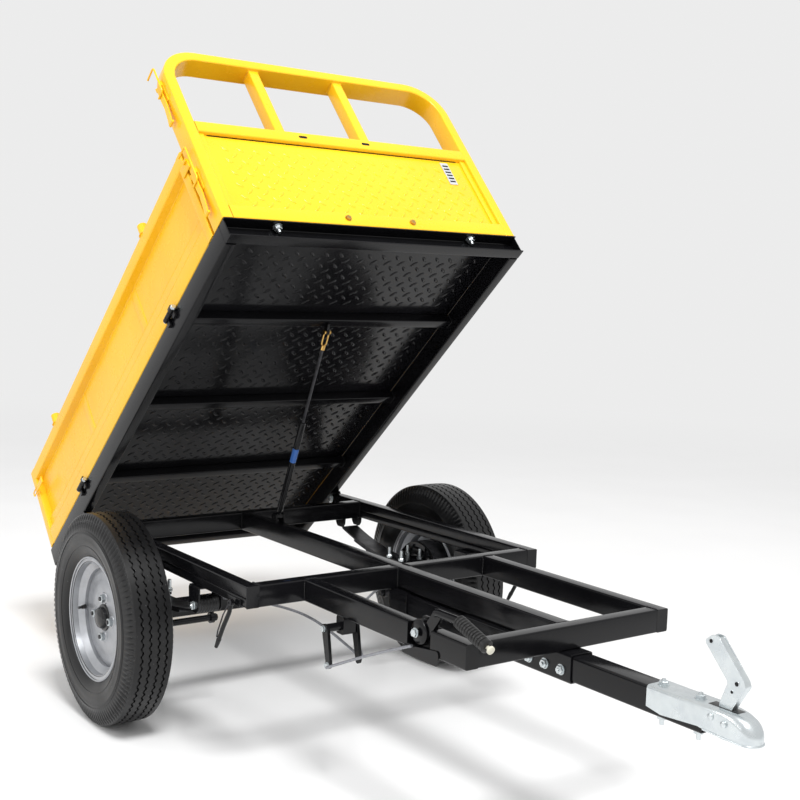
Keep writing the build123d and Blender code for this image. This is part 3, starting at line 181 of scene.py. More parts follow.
YELLOW = gloss_paint("yellow_paint", (0.92, 0.53, 0.014), (0.88, 0.47, 0.008), (0.68, 0.34, 0.02), 0.8,
    0.26, 0.15, 0.4)
BLACK = gloss_paint("black_paint", (0.003, 0.003, 0.0035), (0.005, 0.005, 0.006), (0.12, 0.12, 0.13),
    0.75, 0.17, 0.05, 0.22)
TYRE = rubber("tyre_rubber", (0.0035, 0.0035, 0.0038), (0.007, 0.007, 0.0076))
GRIP = rubber("grip_rubber", (0.008, 0.008, 0.008), (0.014, 0.014, 0.014))
SILVER = metal("rim_silver", (0.42, 0.43, 0.45), (0.34, 0.35, 0.37), 0.3, 0.44, 0.7, 26.0)
ZINC = metal("bright_zinc", (0.62, 0.66, 0.67), (0.54, 0.58, 0.6), 0.2, 0.34, 0.9, 34.0)
YELLOW_ZINC = metal("yellow_zinc", (0.72, 0.45, 0.14), (0.5, 0.3, 0.09), 0.2, 0.36, 1.0, 120.0)
STEEL = metal("dark_steel", (0.06, 0.06, 0.065), (0.03, 0.03, 0.032), 0.3, 0.5, 0.8, 60.0)
SHEATH = metal("cable_sheath", (0.3, 0.31, 0.33), (0.2, 0.2, 0.22), 0.3, 0.5, 0.6, 200.0)
CAP = plastic("cap_plastic", (0.012, 0.012, 0.013), 0.16)
BUTTON = plastic("button_plastic", (0.62, 0.6, 0.5), 0.4)
LINING = plastic("brake_lining", (0.1, 0.08, 0.06), 0.8)
LABEL = plastic("label_face", (0.5, 0.52, 0.54), 0.3)
LABEL_BLUE = plastic("label_blue", (0.03, 0.12, 0.4), 0.3)


# ---------------------------------------------------------------- mesh building

# Edges sharper than these, in degrees, are drawn crisp and are bevelled.
SHARP, BEVELLED = 32, 40


def rounded_loop(half_a, half_b, radius, steps=4):
    """Points of a rectangle with round corners, about its middle."""
    points = []
    for corner, (sa, sb) in enumerate(((1, 1), (-1, 1), (-1, -1), (1, -1))):
        for step in range(steps + 1):
            angle = math.radians(90 * corner + 90 * step / steps)
            a = sa * (half_a - radius) + radius * math.cos(angle)
            b = sb * (half_b - radius) + radius * math.sin(angle)
            points.append((a, b))
    return points


def rounded_loop_at(a, b, half_a, half_b):
    """Rounded slot outline about a point."""
    return [(a + x, b + y) for x, y in rounded_loop(half_a, half_b, half_b - 0.1)]


def filleted(points, radius, closed=False, steps=6):
    """A path with an arc of the radius, or less where runs are short, at each corner."""
    points = [Vector(point) for point in points]
    count = len(points)
    out = [] if closed else [points[0]]
    for index in range(count) if closed else range(1, count - 1):
        before, here, after = points[index - 1], points[index], points[(index + 1) % count]
        into, away = (before - here), (after - here)
        size = radius[index] if isinstance(radius, (list, tuple)) else radius
        turn = into.angle(away)
        cut = size / math.tan(turn / 2) if turn > 0.01 else 0
        limit = 0.49 * min(into.length, away.length)
        if cut > limit:
            size *= limit / cut
            cut = limit
        if size < 0.01 or cut < 0.01:
            out.append(here)
            continue
        start, end = here + into.normalized() * cut, here + away.normalized() * cut
        middle = here + (into.normalized() + away.normalized()).normalized() * (size / math.sin(turn / 2))
        arm, sweep = start - middle, end - middle
        for step in range(steps + 1):
            share = step / steps
            whole = math.pi - turn
            out.append(
                middle
                + (arm * math.sin((1 - share) * whole) + sweep * math.sin(share * whole)) / math.sin(whole)
            )
    if not closed:
        out.append(points[-1])
    return out


def rounded(outline, radius, closed=True, steps=4):
    """A flat outline of pairs with an arc at each corner."""
    return [(point.x, point.y) for point in filleted([(a, b, 0) for a, b in outline], radius, closed,
        steps)]


class Shape:
    """A mesh under construction, in one base's millimetres."""

    def __init__(self, base):
        self.base = base
        self.mesh = bmesh.new()

    def corner(self, point):
        return self.mesh.verts.new(self.base @ Vector(point))

    def skin(self, loops, closed_ring=False, caps=True):
        """Faces between loops of equally many points, with end caps."""
        rings = [[self.corner(point) for point in loop] for loop in loops]
        pairs = list(zip(rings, rings[1:]))
        if closed_ring:
            pairs.append((rings[-1], rings[0]))
        for first, second in pairs:
            for index in range(len(first)):
                follow = (index + 1) % len(first)
                self.mesh.faces.new((first[index], first[follow], second[follow], second[index]))
        if caps and not closed_ring:
            self.mesh.faces.new(rings[0])
            self.mesh.faces.new(reversed(rings[-1]))

    def beam(self, low, high, along=0, wall=0, corner=3.0):
        """Rectangular bar or, with a wall, tube between two corners, running along one axis."""
        across = [axis for axis in range(3) if axis != along]
        middle = [(low[axis] + high[axis]) / 2 for axis in range(3)]
        half = [(high[axis] - low[axis]) / 2 for axis in range(3)]
        radius = min(corner, 0.49 * min(half[axis] for axis in across) * 2)

        def loop(shrink, place):
            outline = rounded_loop(
                half[across[0]] - shrink, half[across[1]] - shrink, max(radius - shrink, 0.4)
            )
            points = []
            for a, b in outline:
                point = [0, 0, 0]
                point[across[0]], point[across[1]] = middle[across[0]] + a, middle[across[1]] + b
                point[along] = place
                points.append(point)
            return points

        if wall:
            loops = [loop(0, low[along]), loop(0, high[along]), loop(wall, high[along]),
                loop(wall, low[along])]
            self.skin(loops, closed_ring=True)
        else:
            self.skin([loop(0, low[along]), loop(0, high[along])])
        return self

    def prism(self, outline, along, start, end):
        """Solid of an outline in the two axes across, extruded along the third."""
        across = [axis for axis in range(3) if axis != along]
        loops = []
        for place in (start, end):
            loop = []
            for pair in outline:
                point = [0, 0, 0]
                point[across[0]], point[across[1]] = pair[0], pair[1]
                point[along] = place
                loop.append(point)
            loops.append(loop)
        self.skin(loops)
        return self

    def strip(self, middle_line, thickness, along, start, end):
        """Bent sheet: a line in the two axes across, given a thickness and extruded."""
        line = [Vector((point[0], point[1])) for point in middle_line]
        left, right = [], []
        for index, point in enumerate(line):
            back = line[max(index - 1, 0)]
            ahead = line[min(index + 1, len(line) - 1)]
            into = (point - back).normalized() if index else (ahead - point).normalized()
            out = (ahead - point).normalized() if index < len(line) - 1 else into
            normal = Vector((-(into + out).y, (into + out).x)).normalized()
            stretch = 1 / max(normal.dot(Vector((-into.y, into.x))), 0.3)
            left.append(point + normal * thickness / 2 * stretch)
            right.append(point - normal * thickness / 2 * stretch)
        return self.prism(left + right[::-1], along, start, end)

    def rod(self, start, end, radius, sides=24, end_radius=None):
        """Round bar, tapered if the end radius differs."""
        start, end = Vector(start), Vector(end)
        frame_x, frame_y = cross_axes(end - start)
        loops = []
        for place, size in ((start, radius), (end, radius if end_radius is None else end_radius)):
            loops.append(ring_points(place, frame_x, frame_y, size, sides))
        self.skin(loops)
        return self

    def lathe(self, profile, origin, axis, sides=64):
        """Closed section of (distance along the axis, radius) turned about the axis."""
        axis = Vector(axis).normalized()
        frame_x, frame_y = cross_axes(axis)
        loops = []
        for step in range(sides):
            angle = 2 * math.pi * step / sides
            outward = frame_x * math.cos(angle) + frame_y * math.sin(angle)
            loops.append([Vector(origin) + axis * along + outward * size for along, size in profile])
        self.skin(loops, closed_ring=True)
        return self

    def pipe(self, path, radius, sides=12, closed=False):
        """Round bar along a path of points, turned as little as possible on the way."""
        path = [Vector(point) for point in path]
        count = len(path)
        loops = []
        frame_x = None
        for index, point in enumerate(path):
            back = path[index - 1] if index or closed else point
            ahead = path[(index + 1) % count] if index < count - 1 or closed else point
            along = (ahead - back).normalized()
            if frame_x is None:
                frame_x = cross_axes(along)[0]
            frame_x = (frame_x - along * frame_x.dot(along)).normalized()
            loops.append(ring_points(point, frame_x, along.cross(frame_x), radius, sides))
        self.skin(loops, closed_ring=closed)
        return self

    def done(self, name, material, body, replaces=(), bevel=0.0, slot=None):
        """The finished piece: merged, turned outwards, bevelled, and put on its body."""
        bmesh.ops.remove_doubles(self.mesh, verts=self.mesh.verts, dist=1e-6)
        bmesh.ops.recalc_face_normals(self.mesh, faces=self.mesh.faces)
        mesh = bpy.data.meshes.new(name)
        self.mesh.to_mesh(mesh)
        self.mesh.free()
        put(name, mesh, material, body, replaces, bevel)


def put(name, mesh, material, body, replaces=(), bevel=0.0):
    """An object for a mesh, with its finish, edges, body and material slot."""
    piece = bpy.data.objects.new(name, mesh)
    bpy.context.scene.collection.objects.link(piece)
    mesh.materials.clear()
    mesh.materials.append(material)
    mesh.shade_smooth()
    mesh.set_sharp_from_angle(angle=math.radians(SHARP))
    if bevel:
        edges = piece.modifiers.new("edges", "BEVEL")
        edges.width = bevel * MM
        edges.segments = 2
        edges.limit_method = "ANGLE"
        edges.angle_limit = math.radians(BEVELLED)
        edges.harden_normals = True
        edges.use_clamp_overlap = True
    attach(piece, body)
    if replaces:
        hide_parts(*replaces)


def cross_axes(direction):
    """Two directions square to a direction and to each other."""
    direction = Vector(direction).normalized()
    helper = Vector((0, 0, 1)) if abs(direction.z) < 0.9 else Vector((1, 0, 0))
    first = direction.cross(helper).normalized()
    return first, direction.cross(first)


def ring_points(centre, frame_x, frame_y, radius, sides):
    """Points of a circle."""
    turns = [2 * math.pi * index / sides for index in range(sides)]
    return [Vector(centre) + (frame_x * math.cos(turn) + frame_y * math.sin(turn)) * radius for turn in turns]


def span(side, inner, outer):
    """Lower and upper y of something at two distances from the centre plane."""
    return tuple(sorted((side * inner, side * outer)))


# ---------------------------------------------------------------- geometry nodes


def node_group(name, titles):
    """Geometry node group with a geometry, named numbers and a material coming in."""
    group = bpy.data.node_groups.new(name, "GeometryNodeTree")
    kinds = [("Geometry", "Geometry")] + [(title, "Float") for title in titles] + [("Material", "Material")]
    for title, kind in kinds:
        group.interface.new_socket(title, in_out="INPUT", socket_type=f"NodeSocket{kind}")
    group.interface.new_socket("Geometry", in_out="OUTPUT", socket_type="NodeSocketGeometry")
    return group, group.nodes.new("NodeGroupInput").outputs


def math_node(group, operation, first, second):
    """Math of two sockets or numbers."""
    return add(group, "ShaderNodeMath", {0: first, 1: second}, operation=operation)


def combine(group, x, y, z):
    """Vector of three sockets or numbers."""
    return add(group, "ShaderNodeCombineXYZ", {0: x, 1: y, 2: z})


def end_tree(group, geometry, size):
    """Realize what the tree made, give it the material and send it out."""
    real = add(group, "GeometryNodeRealizeInstances", {0: geometry})
    painted = add(group, "GeometryNodeSetMaterial", {"Geometry": real, "Material": size["Material"]})
    group.links.new(painted, group.nodes.new("NodeGroupOutput").inputs[0])
    return group


def chequer_tree():
    """Rows of lens-shaped lugs on a grid, in two directions that alternate."""
    titles = ("Length", "Width", "Row Pitch", "Column Pitch", "Lug Length", "Lug Width", "Lug Height",
        "Slant")
    group, size = node_group("chequer_lugs", titles)
    lens = add(group, "GeometryNodeMeshUVSphere", {"Segments": 12, "Rings": 6, "Radius": 0.5}, "Mesh")
    joined = group.nodes.new("GeometryNodeJoinGeometry")
    pitches = size["Row Pitch"], size["Column Pitch"]
    measure = combine(group, size["Lug Length"], size["Lug Width"], size["Lug Height"])
    for shift, turn in ((0.0, 1.0), (0.5, -1.0)):
        spread = {}
        for title, extent, pitch in zip("XY", (size["Length"], size["Width"]), pitches):
            count = math_node(group, "FLOOR", math_node(group, "DIVIDE", extent, pitch), 0.0)
            spread[f"Vertices {title}"] = count
            gaps = math_node(group, "SUBTRACT", count, 1.0)
            spread[f"Size {title}"] = math_node(group, "MULTIPLY", gaps, pitch)
        grid = add(group, "GeometryNodeMeshGrid", spread, "Mesh")
        offset = combine(group, *(math_node(group, "MULTIPLY", pitch, shift) for pitch in pitches), 0.0)
        placed = add(group, "GeometryNodeSetPosition", {"Geometry": grid, "Offset": offset})
        slant = combine(group, 0.0, 0.0, math_node(group, "MULTIPLY", size["Slant"], turn))
        inputs = {"Points": placed, "Instance": lens, "Rotation": slant, "Scale": measure}
        group.links.new(add(group, "GeometryNodeInstanceOnPoints", inputs), joined.inputs[0])
    return end_tree(group, joined.outputs[0], size)


def bolt_tree():
    """A hexagonal head on a washer at every point, along the point's direction."""
    titles = ("Head Radius", "Head Height", "Washer Radius", "Washer Height", "Stud Radius", "Stud Height")
    group, size = node_group("hex_heads", titles)
    joined = group.nodes.new("GeometryNodeJoinGeometry")
    head_foot = size["Washer Height"]
    shoulder = math_node(group, "ADD", head_foot, math_node(group, "MULTIPLY", size["Head Height"], 0.8))
    head_top = math_node(group, "ADD", head_foot, size["Head Height"])
    layers = (
        (40, "Washer", 1.0, 1.0, 0.0),
        (6, "Head", 1.0, 0.8, head_foot),
        (6, "Head", 0.86, 0.2, shoulder),
        (16, "Stud", 0.85, 1.0, head_top),
    )
    for sides, part, narrowing, share, start in layers:
        radius = size[f"{part} Radius"]
        cone = add(group, "GeometryNodeMeshCone", {"Vertices": sides,
            "Radius Top": math_node(group, "MULTIPLY", radius, narrowing), "Radius Bottom": radius,
            "Depth": math_node(group, "MULTIPLY", size[f"{part} Height"], share)}, "Mesh")
        inputs = {"Geometry": cone, "Translation": combine(group, 0.0, 0.0, start)}
        group.links.new(add(group, "GeometryNodeTransform", inputs), joined.inputs[0])
    direction = add(group, "GeometryNodeInputNamedAttribute", {"Name": "direction"},
        data_type="FLOAT_VECTOR")
    aim = add(group, "FunctionNodeAlignRotationToVector", {"Vector": direction}, axis="Z")
    inputs = {"Points": size[0], "Instance": joined.outputs[0], "Rotation": aim}
    return end_tree(group, add(group, "GeometryNodeInstanceOnPoints", inputs), size)


def weld_tree():
    """Overlapping beads of uneven size along every line of the mesh."""
    group, size = node_group("weld_beads", ("Bead Radius", "Bead Pitch"))
    curve = add(group, "GeometryNodeMeshToCurve", {"Mesh": size["Geometry"]})
    points = group.nodes.new("GeometryNodeResampleCurve")
    points.mode = "LENGTH"
    group.links.new(curve, points.inputs["Curve"])
    group.links.new(size["Bead Pitch"], points.inputs["Length"])
    bead = add(group, "GeometryNodeMeshIcoSphere", {"Subdivisions": 2, "Radius": size["Bead Radius"]},
        "Mesh")
    limits = {0: (0.8, 0.8, 0.8), 1: (1.2, 1.2, 1.2), "Seed": 3}
    vary = add(group, "FunctionNodeRandomValue", limits, data_type="FLOAT_VECTOR")
    inputs = {"Points": points.outputs[0], "Instance": bead, "Scale": vary}
    return end_tree(group, add(group, "GeometryNodeInstanceOnPoints", inputs), size)


CHEQUER, HEX_HEADS, WELDS = chequer_tree(), bolt_tree(), weld_tree()


def grown_by(group, name, source, values, base):
    """Plain mesh that a node group makes from a source mesh, placed by a base matrix."""
    maker = bpy.data.objects.new(name, source)
    bpy.context.scene.collection.objects.link(maker)
    modifier = maker.modifiers.new(name, "NODES")
    modifier.node_group = group
    for item in group.interface.items_tree:
        if item.item_type == "SOCKET" and item.in_out == "INPUT" and item.name in values:
            modifier[item.identifier] = values[item.name]
    bpy.context.view_layer.update()
    made = maker.evaluated_get(bpy.context.evaluated_depsgraph_get())
    mesh = bpy.data.meshes.new_from_object(made)
    maker.modifiers.remove(modifier)
    bpy.data.objects.remove(maker)
    mesh.transform(base)
    return mesh


def chequer(name, length, width, material, body, base):
    """A field of lugs about the origin of a base, lengths along its x and y."""
    values = {"Length": float(length), "Width": float(width), "Row Pitch": 42.0, "Column Pitch": 45.0,
        "Lug Length": 27.0, "Lug Width": 9.5, "Lug Height": 4.6, "Slant": math.radians(45),
        "Material": material}
    put(name, grown_by(CHEQUER, name, bpy.data.meshes.new(name), values, base), material, body)


def hex_heads(name, spots, material, body, base, head, height, washer, stud=0.0, replaces=()):
    """Bolt heads or nuts at (place, direction) spots of a base."""
    points = bpy.data.meshes.new(name)
    points.from_pydata([spot[0] for spot in spots], [], [])
    aims = points.attributes.new("direction", "FLOAT_VECTOR", "POINT")
    for item, spot in zip(aims.data, spots):
        item.vector = spot[1]
    values = {
        "Head Radius": head / math.cos(math.radians(30)), "Head Height": float(height),
        "Washer Radius": float(washer), "Washer Height": 1.6, "Stud Radius": 0.55 * head,
        "Stud Height": max(float(stud), 0.05), "Material": material,
    }
    put(name, grown_by(HEX_HEADS, name, points, values, base), material, body, replaces)


def welds(name, lines, material, body, base, radius=2.2, pitch=2.6):
    """Weld beads along (start, end) lines of a base."""
    path = bpy.data.meshes.new(name)
    corners, edges = [], []
    for start, end in lines:
        edges.append((len(corners), len(corners) + 1))
        corners += [start, end]
    path.from_pydata(corners, edges, [])
    values = {"Bead Radius": float(radius), "Bead Pitch": float(pitch), "Material": material}
    put(name, grown_by(WELDS, name, path, values, base), material, body)


# ---------------------------------------------------------------- chassis

TOP, SPLIT, BOTTOM = 482.5, 451.5, 428.5
RAIL_OUTER, RAIL_INNER = 456, 421
RAIL_REAR, MAIN_FRONT, REAR_FRONT = -407, 583, -249
BEAM_HALF, SUB_INNER, SUB_OUTER, SUB_FRONT, MEMBER = 19, 262, 297, 1209, 35
# The right subframe rail is open between these, where the hand brake stands.
GAP_REAR, GAP_FRONT = 1008, 1090
PIVOT = [value / MM for value in JOINTS["box_tip"]["pos_m"]]


def chassis_pieces():
    """Rails, cross members and centre beam, with their welds."""
    rails = Shape(CHASSIS)
    for side, _ in SIDES:
        low, high = span(side, RAIL_INNER, RAIL_OUTER)
        rails.beam((RAIL_REAR, low, SPLIT), (MAIN_FRONT, high, TOP), 0, 0, 4)
        rails.beam((RAIL_REAR, low + 2, BOTTOM), (MAIN_FRONT, high - 2, SPLIT), 0, 0, 4)
        lug_low, lug_high = span(side, 428, 450)
        rails.beam((PIVOT[0], lug_low, PIVOT[2] - 15), (RAIL_REAR, lug_high, PIVOT[2] + 15), 1, 0, 1)
        rails.lathe([(-11, 8), (-11, 15), (11, 15), (11, 8)],
            (PIVOT[0], (lug_low + lug_high) / 2, PIVOT[2]), (0, 1, 0), 40)
        rails.beam((MAIN_FRONT - 2, low, BOTTOM), (MAIN_FRONT + 0.4, high, TOP), 0, 0, 3)
        foot_low, foot_high = span(side, RAIL_OUTER - 2, RAIL_OUTER + 2)
        rails.beam((492, foot_low, BOTTOM), (556, foot_high, 446), 0, 0, 1)
        rails.rod((530, side * 458, 433), (530, side * 469, 433), 3)
    rails.done("main_rails_shell", BLACK, "chassis", ["main_rails"], 0.8)
    members = Shape(CHASSIS)
    members.beam((REAR_FRONT - MEMBER, -RAIL_INNER, BOTTOM), (REAR_FRONT, RAIL_INNER, TOP), 1, 0, 4)
    for side, _ in SIDES:
        low, high = span(side, BEAM_HALF, RAIL_INNER)
        members.beam((MAIN_FRONT - MEMBER, low, BOTTOM), (MAIN_FRONT, high, TOP), 1, 0, 4)
    members.beam((SUB_FRONT - MEMBER, -SUB_INNER, BOTTOM), (SUB_FRONT, SUB_INNER, TOP), 1, 0, 4)
    members.done("chassis_crossmembers_shell", BLACK, "chassis", ["chassis_crossmembers"], 0.8)
    beam = Shape(CHASSIS)
    beam.beam((REAR_FRONT, -BEAM_HALF, BOTTOM), (SUB_FRONT - MEMBER, BEAM_HALF, TOP), 0, 0, 4)
    beam.done("centre_beam_shell", BLACK, "chassis", ["centre_beam"], 0.8)
    sub = Shape(CHASSIS)
    sub.beam((MAIN_FRONT, SUB_INNER, BOTTOM), (SUB_FRONT, SUB_OUTER, TOP), 0, 0, 4)
    for start, end in ((MAIN_FRONT, GAP_REAR), (GAP_FRONT, SUB_FRONT)):
        sub.beam((start, -SUB_OUTER, BOTTOM), (end, -SUB_INNER, TOP), 0, 0, 4)
    sub.beam((GAP_REAR, -SUB_OUTER, BOTTOM), (GAP_FRONT, -SUB_INNER, 436), 0, 0, 2)
    sub.beam((GAP_REAR, -SUB_INNER - 3, 436), (GAP_FRONT, -SUB_INNER, TOP), 0, 0, 1)
    sub.done("subframe_rails_shell", BLACK, "chassis", ["subframe_rails"], 0.8)
    lines = []
    for side, _ in SIDES:
        def upright(x, y):
            lines.append(((x, side * y, BOTTOM + 3), (x, side * y, TOP - 3)))

        def level(front, y, gap=2):
            lines.append(((front - MEMBER + 2, side * y, TOP), (front - gap, side * y, TOP)))

        for x in (REAR_FRONT - MEMBER, REAR_FRONT, MAIN_FRONT - MEMBER):
            upright(x, RAIL_INNER)
        level(REAR_FRONT, RAIL_INNER)
        level(MAIN_FRONT, RAIL_INNER)
        for y in (SUB_INNER, SUB_OUTER):
            upright(MAIN_FRONT, y)
        lines.append(((MAIN_FRONT, side * (SUB_INNER + 3), TOP), (MAIN_FRONT, side * (SUB_OUTER - 3), TOP)))
        upright(SUB_FRONT - MEMBER, SUB_INNER)
        level(SUB_FRONT, SUB_INNER, 3)
        for x in (REAR_FRONT, MAIN_FRONT - MEMBER, MAIN_FRONT, SUB_FRONT - MEMBER):
            upright(x, BEAM_HALF)
        level(MAIN_FRONT, BEAM_HALF)
    welds("chassis_welds", lines, BLACK, "chassis", CHASSIS)


# ---------------------------------------------------------------- drawbar and coupling

BAR_Z, BAR_HALF, SLEEVE_HALF = 396.5, 28, 32
BAR_REAR, BAR_FRONT = 560, 1592
SLEEVE_BOLTS, SLEEVE_BOLT_Z = (1106, 1158, 1209), 390
COUPLING_BOLTS = (1471, 1566)
COUPLING_REAR, COUPLING_TOP, COUPLING_HALF = 1455, 427.5, 31.5
BALL_X, BALL_Z, BALL_RADIUS, NOSE_HALF = 1684, 388, 25.5, 27.5
# Where along the coupling its floor dips and rises, its sides draw in and its roof comes down.
FLOOR, DIP, NECK, TAPER, DOME = 384, 1494, 1586, 1600, 1660


def coupling_section(x):
    """Half width, floor height and roof height of the coupling shell at a place along it."""
    if x <= DIP:
        floor = FLOOR - 7 * (x - COUPLING_REAR) / (DIP - COUPLING_REAR)
    elif x <= NECK:
        floor = FLOOR - 7 + 7 * (x - DIP) / (NECK - DIP)
    else:
        floor = FLOOR - 8 * min((x - NECK) / 60, 1)
    half = COUPLING_HALF
    roof = COUPLING_TOP
    if x > TAPER:
        half -= (COUPLING_HALF - NOSE_HALF) * min((x - TAPER) / (BALL_X - TAPER), 1)
    if x > BALL_X:
        half = NOSE_HALF * math.sqrt(max(1 - ((x - BALL_X) / NOSE_HALF) ** 2, 0.0))
    if x > DOME:
        share = (x - DOME) / (BALL_X + NOSE_HALF - DOME)
        roof = BALL_Z + (COUPLING_TOP - BALL_Z) * math.sqrt(max(1 - share**2, 0.0))
    return half, floor, roof


def drawbar_pieces():
    """Drawbar, sleeves, bolts, coupling shell and handle."""
    bar = Shape(CHASSIS)
    bar.beam((BAR_REAR, -BAR_HALF, BAR_Z - BAR_HALF), (BAR_FRONT, BAR_HALF, BAR_Z + BAR_HALF), 0, 4, 6)
    bar.done("drawbar_tube", BLACK, "chassis", ["drawbar"], 0.8)
    sleeves = Shape(CHASSIS)
    for start, end in ((BAR_REAR + 10, BAR_REAR + 80), (870, 1238)):
        low, high = BAR_Z - SLEEVE_HALF, BAR_Z + SLEEVE_HALF
        sleeves.beam((start, -SLEEVE_HALF, low), (end, SLEEVE_HALF, high), 0, 3.5, 6)
    sleeves.done("drawbar_sleeves_shell", BLACK, "chassis", ["drawbar_sleeves"], 0.8)
    spots = []
    for x in SLEEVE_BOLTS:
        for side, _ in SIDES:
            spots.append(((x, side * SLEEVE_HALF, SLEEVE_BOLT_Z), (0, side, 0)))
    for x in COUPLING_BOLTS:
        spots.append(((x, 0, COUPLING_TOP - 0.5), (0, 0, 1)))
    under = [((x, 0, BAR_Z - BAR_HALF), (0, 0, -1)) for x in COUPLING_BOLTS]
    hex_heads("coupling_nuts", under, ZINC, "chassis", CHASSIS, 9.5, 10.5, 15, 12)
    hex_heads("drawbar_bolt_heads", spots, ZINC, "chassis", CHASSIS, 9.0, 6.5, 12.0, 4.0, ["drawbar_bolts"])

    shell = Shape(CHASSIS)
    stations = [COUPLING_REAR, 1460, 1494, 1500, 1540, 1586, 1594, 1604, 1625, 1645, 1660, 1666, 1672,
        1678, 1684]
    stations += [BALL_X + NOSE_HALF * math.sin(math.radians(angle)) for angle in range(8, 89, 8)]
    loops = []
    for x in stations:
        half, floor, roof = coupling_section(x)
        swell = min(max((x - 1640) / 40, 0), 1)
        round_over = min(7 + 14 * swell, 0.9 * half, 0.9 * (roof - floor))
        outline = [(-half, floor)]
        inner = []
        for centre, first in ((-half + round_over, 180), (half - round_over, 90)):
            for step in range(6):
                angle = math.radians(first - 18 * step)
                y = centre + round_over * math.cos(angle)
                outline.append((y, roof - round_over + round_over * math.sin(angle)))
        outline.append((half, floor))
        for y, z in reversed(outline):
            inner.append((y * max(half - 3, 0.3) / max(half, 0.31), min(z, roof - 3) if z > floor else z))
        loops.append([(x, y, z) for y, z in outline + inner])
    shell.skin(loops)
    lip = []
    for step in range(25):
        angle = math.radians(-90 + 180 * step / 24)
        lip.append((BALL_X + NOSE_HALF * math.cos(angle), NOSE_HALF * math.sin(angle), 377.8))
    lip = [(TAPER, -COUPLING_HALF, 382)] + lip + [(TAPER, COUPLING_HALF, 382)]
    shell.pipe(lip, 2.2, 10)
    shell.lathe([(0, BALL_RADIUS), (0, 27), (16, 27), (24, 22), (29, 12), (30, 4), (25.5, 4), (24, 9),
        (18, 18), (8, BALL_RADIUS - 1)], (BALL_X, 0, BALL_Z - 10), (0, 0, 1), 48)
    for x, z in ((1617, 412), (1648, 406)):
        rivet = [(-COUPLING_HALF - 3.4, 0), (-COUPLING_HALF - 3, 4), (-COUPLING_HALF - 1.5, 6.5),
            (-COUPLING_HALF, 6.8)]
        rivet += [(-place, size) for place, size in reversed(rivet)]
        shell.lathe(rivet, (x, 0, z), (0, 1, 0), 32)
    shell.done("coupling_shell", ZINC, "chassis", ["coupling_body"], 0.6)

    slot = Shape(CHASSIS)
    slot.beam((1594, -12, COUPLING_TOP - 2), (1664, 12, COUPLING_TOP + 0.35), 0, 0, 0.5)
    slot.done("coupling_slot_shade", BLACK, "chassis", slot="zinc")
    # Painted shade: black discs through the lever's eyes stand in for the shadow inside its holes.
    painted_hole_shade = Shape(CHASSIS)
    for x, z, radius in ((1590, 548, 3.6), (1656, 482, 4.4), (1646, 464, 3)):
        painted_hole_shade.rod((x, -10.1, z), (x, 10.1, z), radius, 24)
    painted_hole_shade.done("coupling_lever_painted_hole_shade", BLACK, "coupling_handle", slot="zinc")
    handle = Shape(CHASSIS)
    for y_low, y_high in ((-9, -6), (6, 9)):
        outline = [(1616, 406), (1640, 406), (1646, 432), (1677, 478), (1672, 490), (1608, 560),
            (1592, 561), (1576, 548), (1577, 541), (1634, 480), (1618, 436)]
        handle.prism(rounded(outline, 8), 1, y_low, y_high)
    back = [(1642, 412), (1647, 432), (1675, 479), (1671, 489), (1606, 558)]
    handle.strip(rounded(back, 8, False, 6), 3, 1, -8.5, 8.5)
    for x, z, radius in ((1590, 548, 6), (1656, 482, 6), (1646, 464, 4)):
        handle.lathe([(-9.8, radius - 2), (-9.8, radius), (9.8, radius), (9.8, radius - 2)], (x, 0, z),
            (0, 1, 0), 24)
    handle.done("coupling_lever", ZINC, "coupling_handle", ["coupling_handle"], 0.5)


# ---------------------------------------------------------------- axle and springs

WHEEL_Y, AXLE_Z = (value / MM for value in JOINTS["wheel_left_spin"]["pos_m"][1:])
SPRING_Y, EYE_X, EYE_Z, PACK_TOP = 428, 320, 378, 334.5
LEAVES = (318, 245, 175, 105)
LEAF, FRONT_RISE, REAR_RISE = 7, 34, 56


def leaf_line(index, direction):
    """Middle line of one half of a leaf, from the middle out, as (x, z) points."""
    rise = FRONT_RISE if direction > 0 else REAR_RISE
    bend = (EYE_X**2 + rise**2) / (2 * rise)
    reach = LEAVES[index] - (14 if direction > 0 else 0)
    radius = bend + LEAF * (index + 0.5)
    points = []
    for step in range(17):
        x = reach * step / 16
        points.append((direction * x, PACK_TOP + bend - math.sqrt(radius**2 - x**2)))
    return points


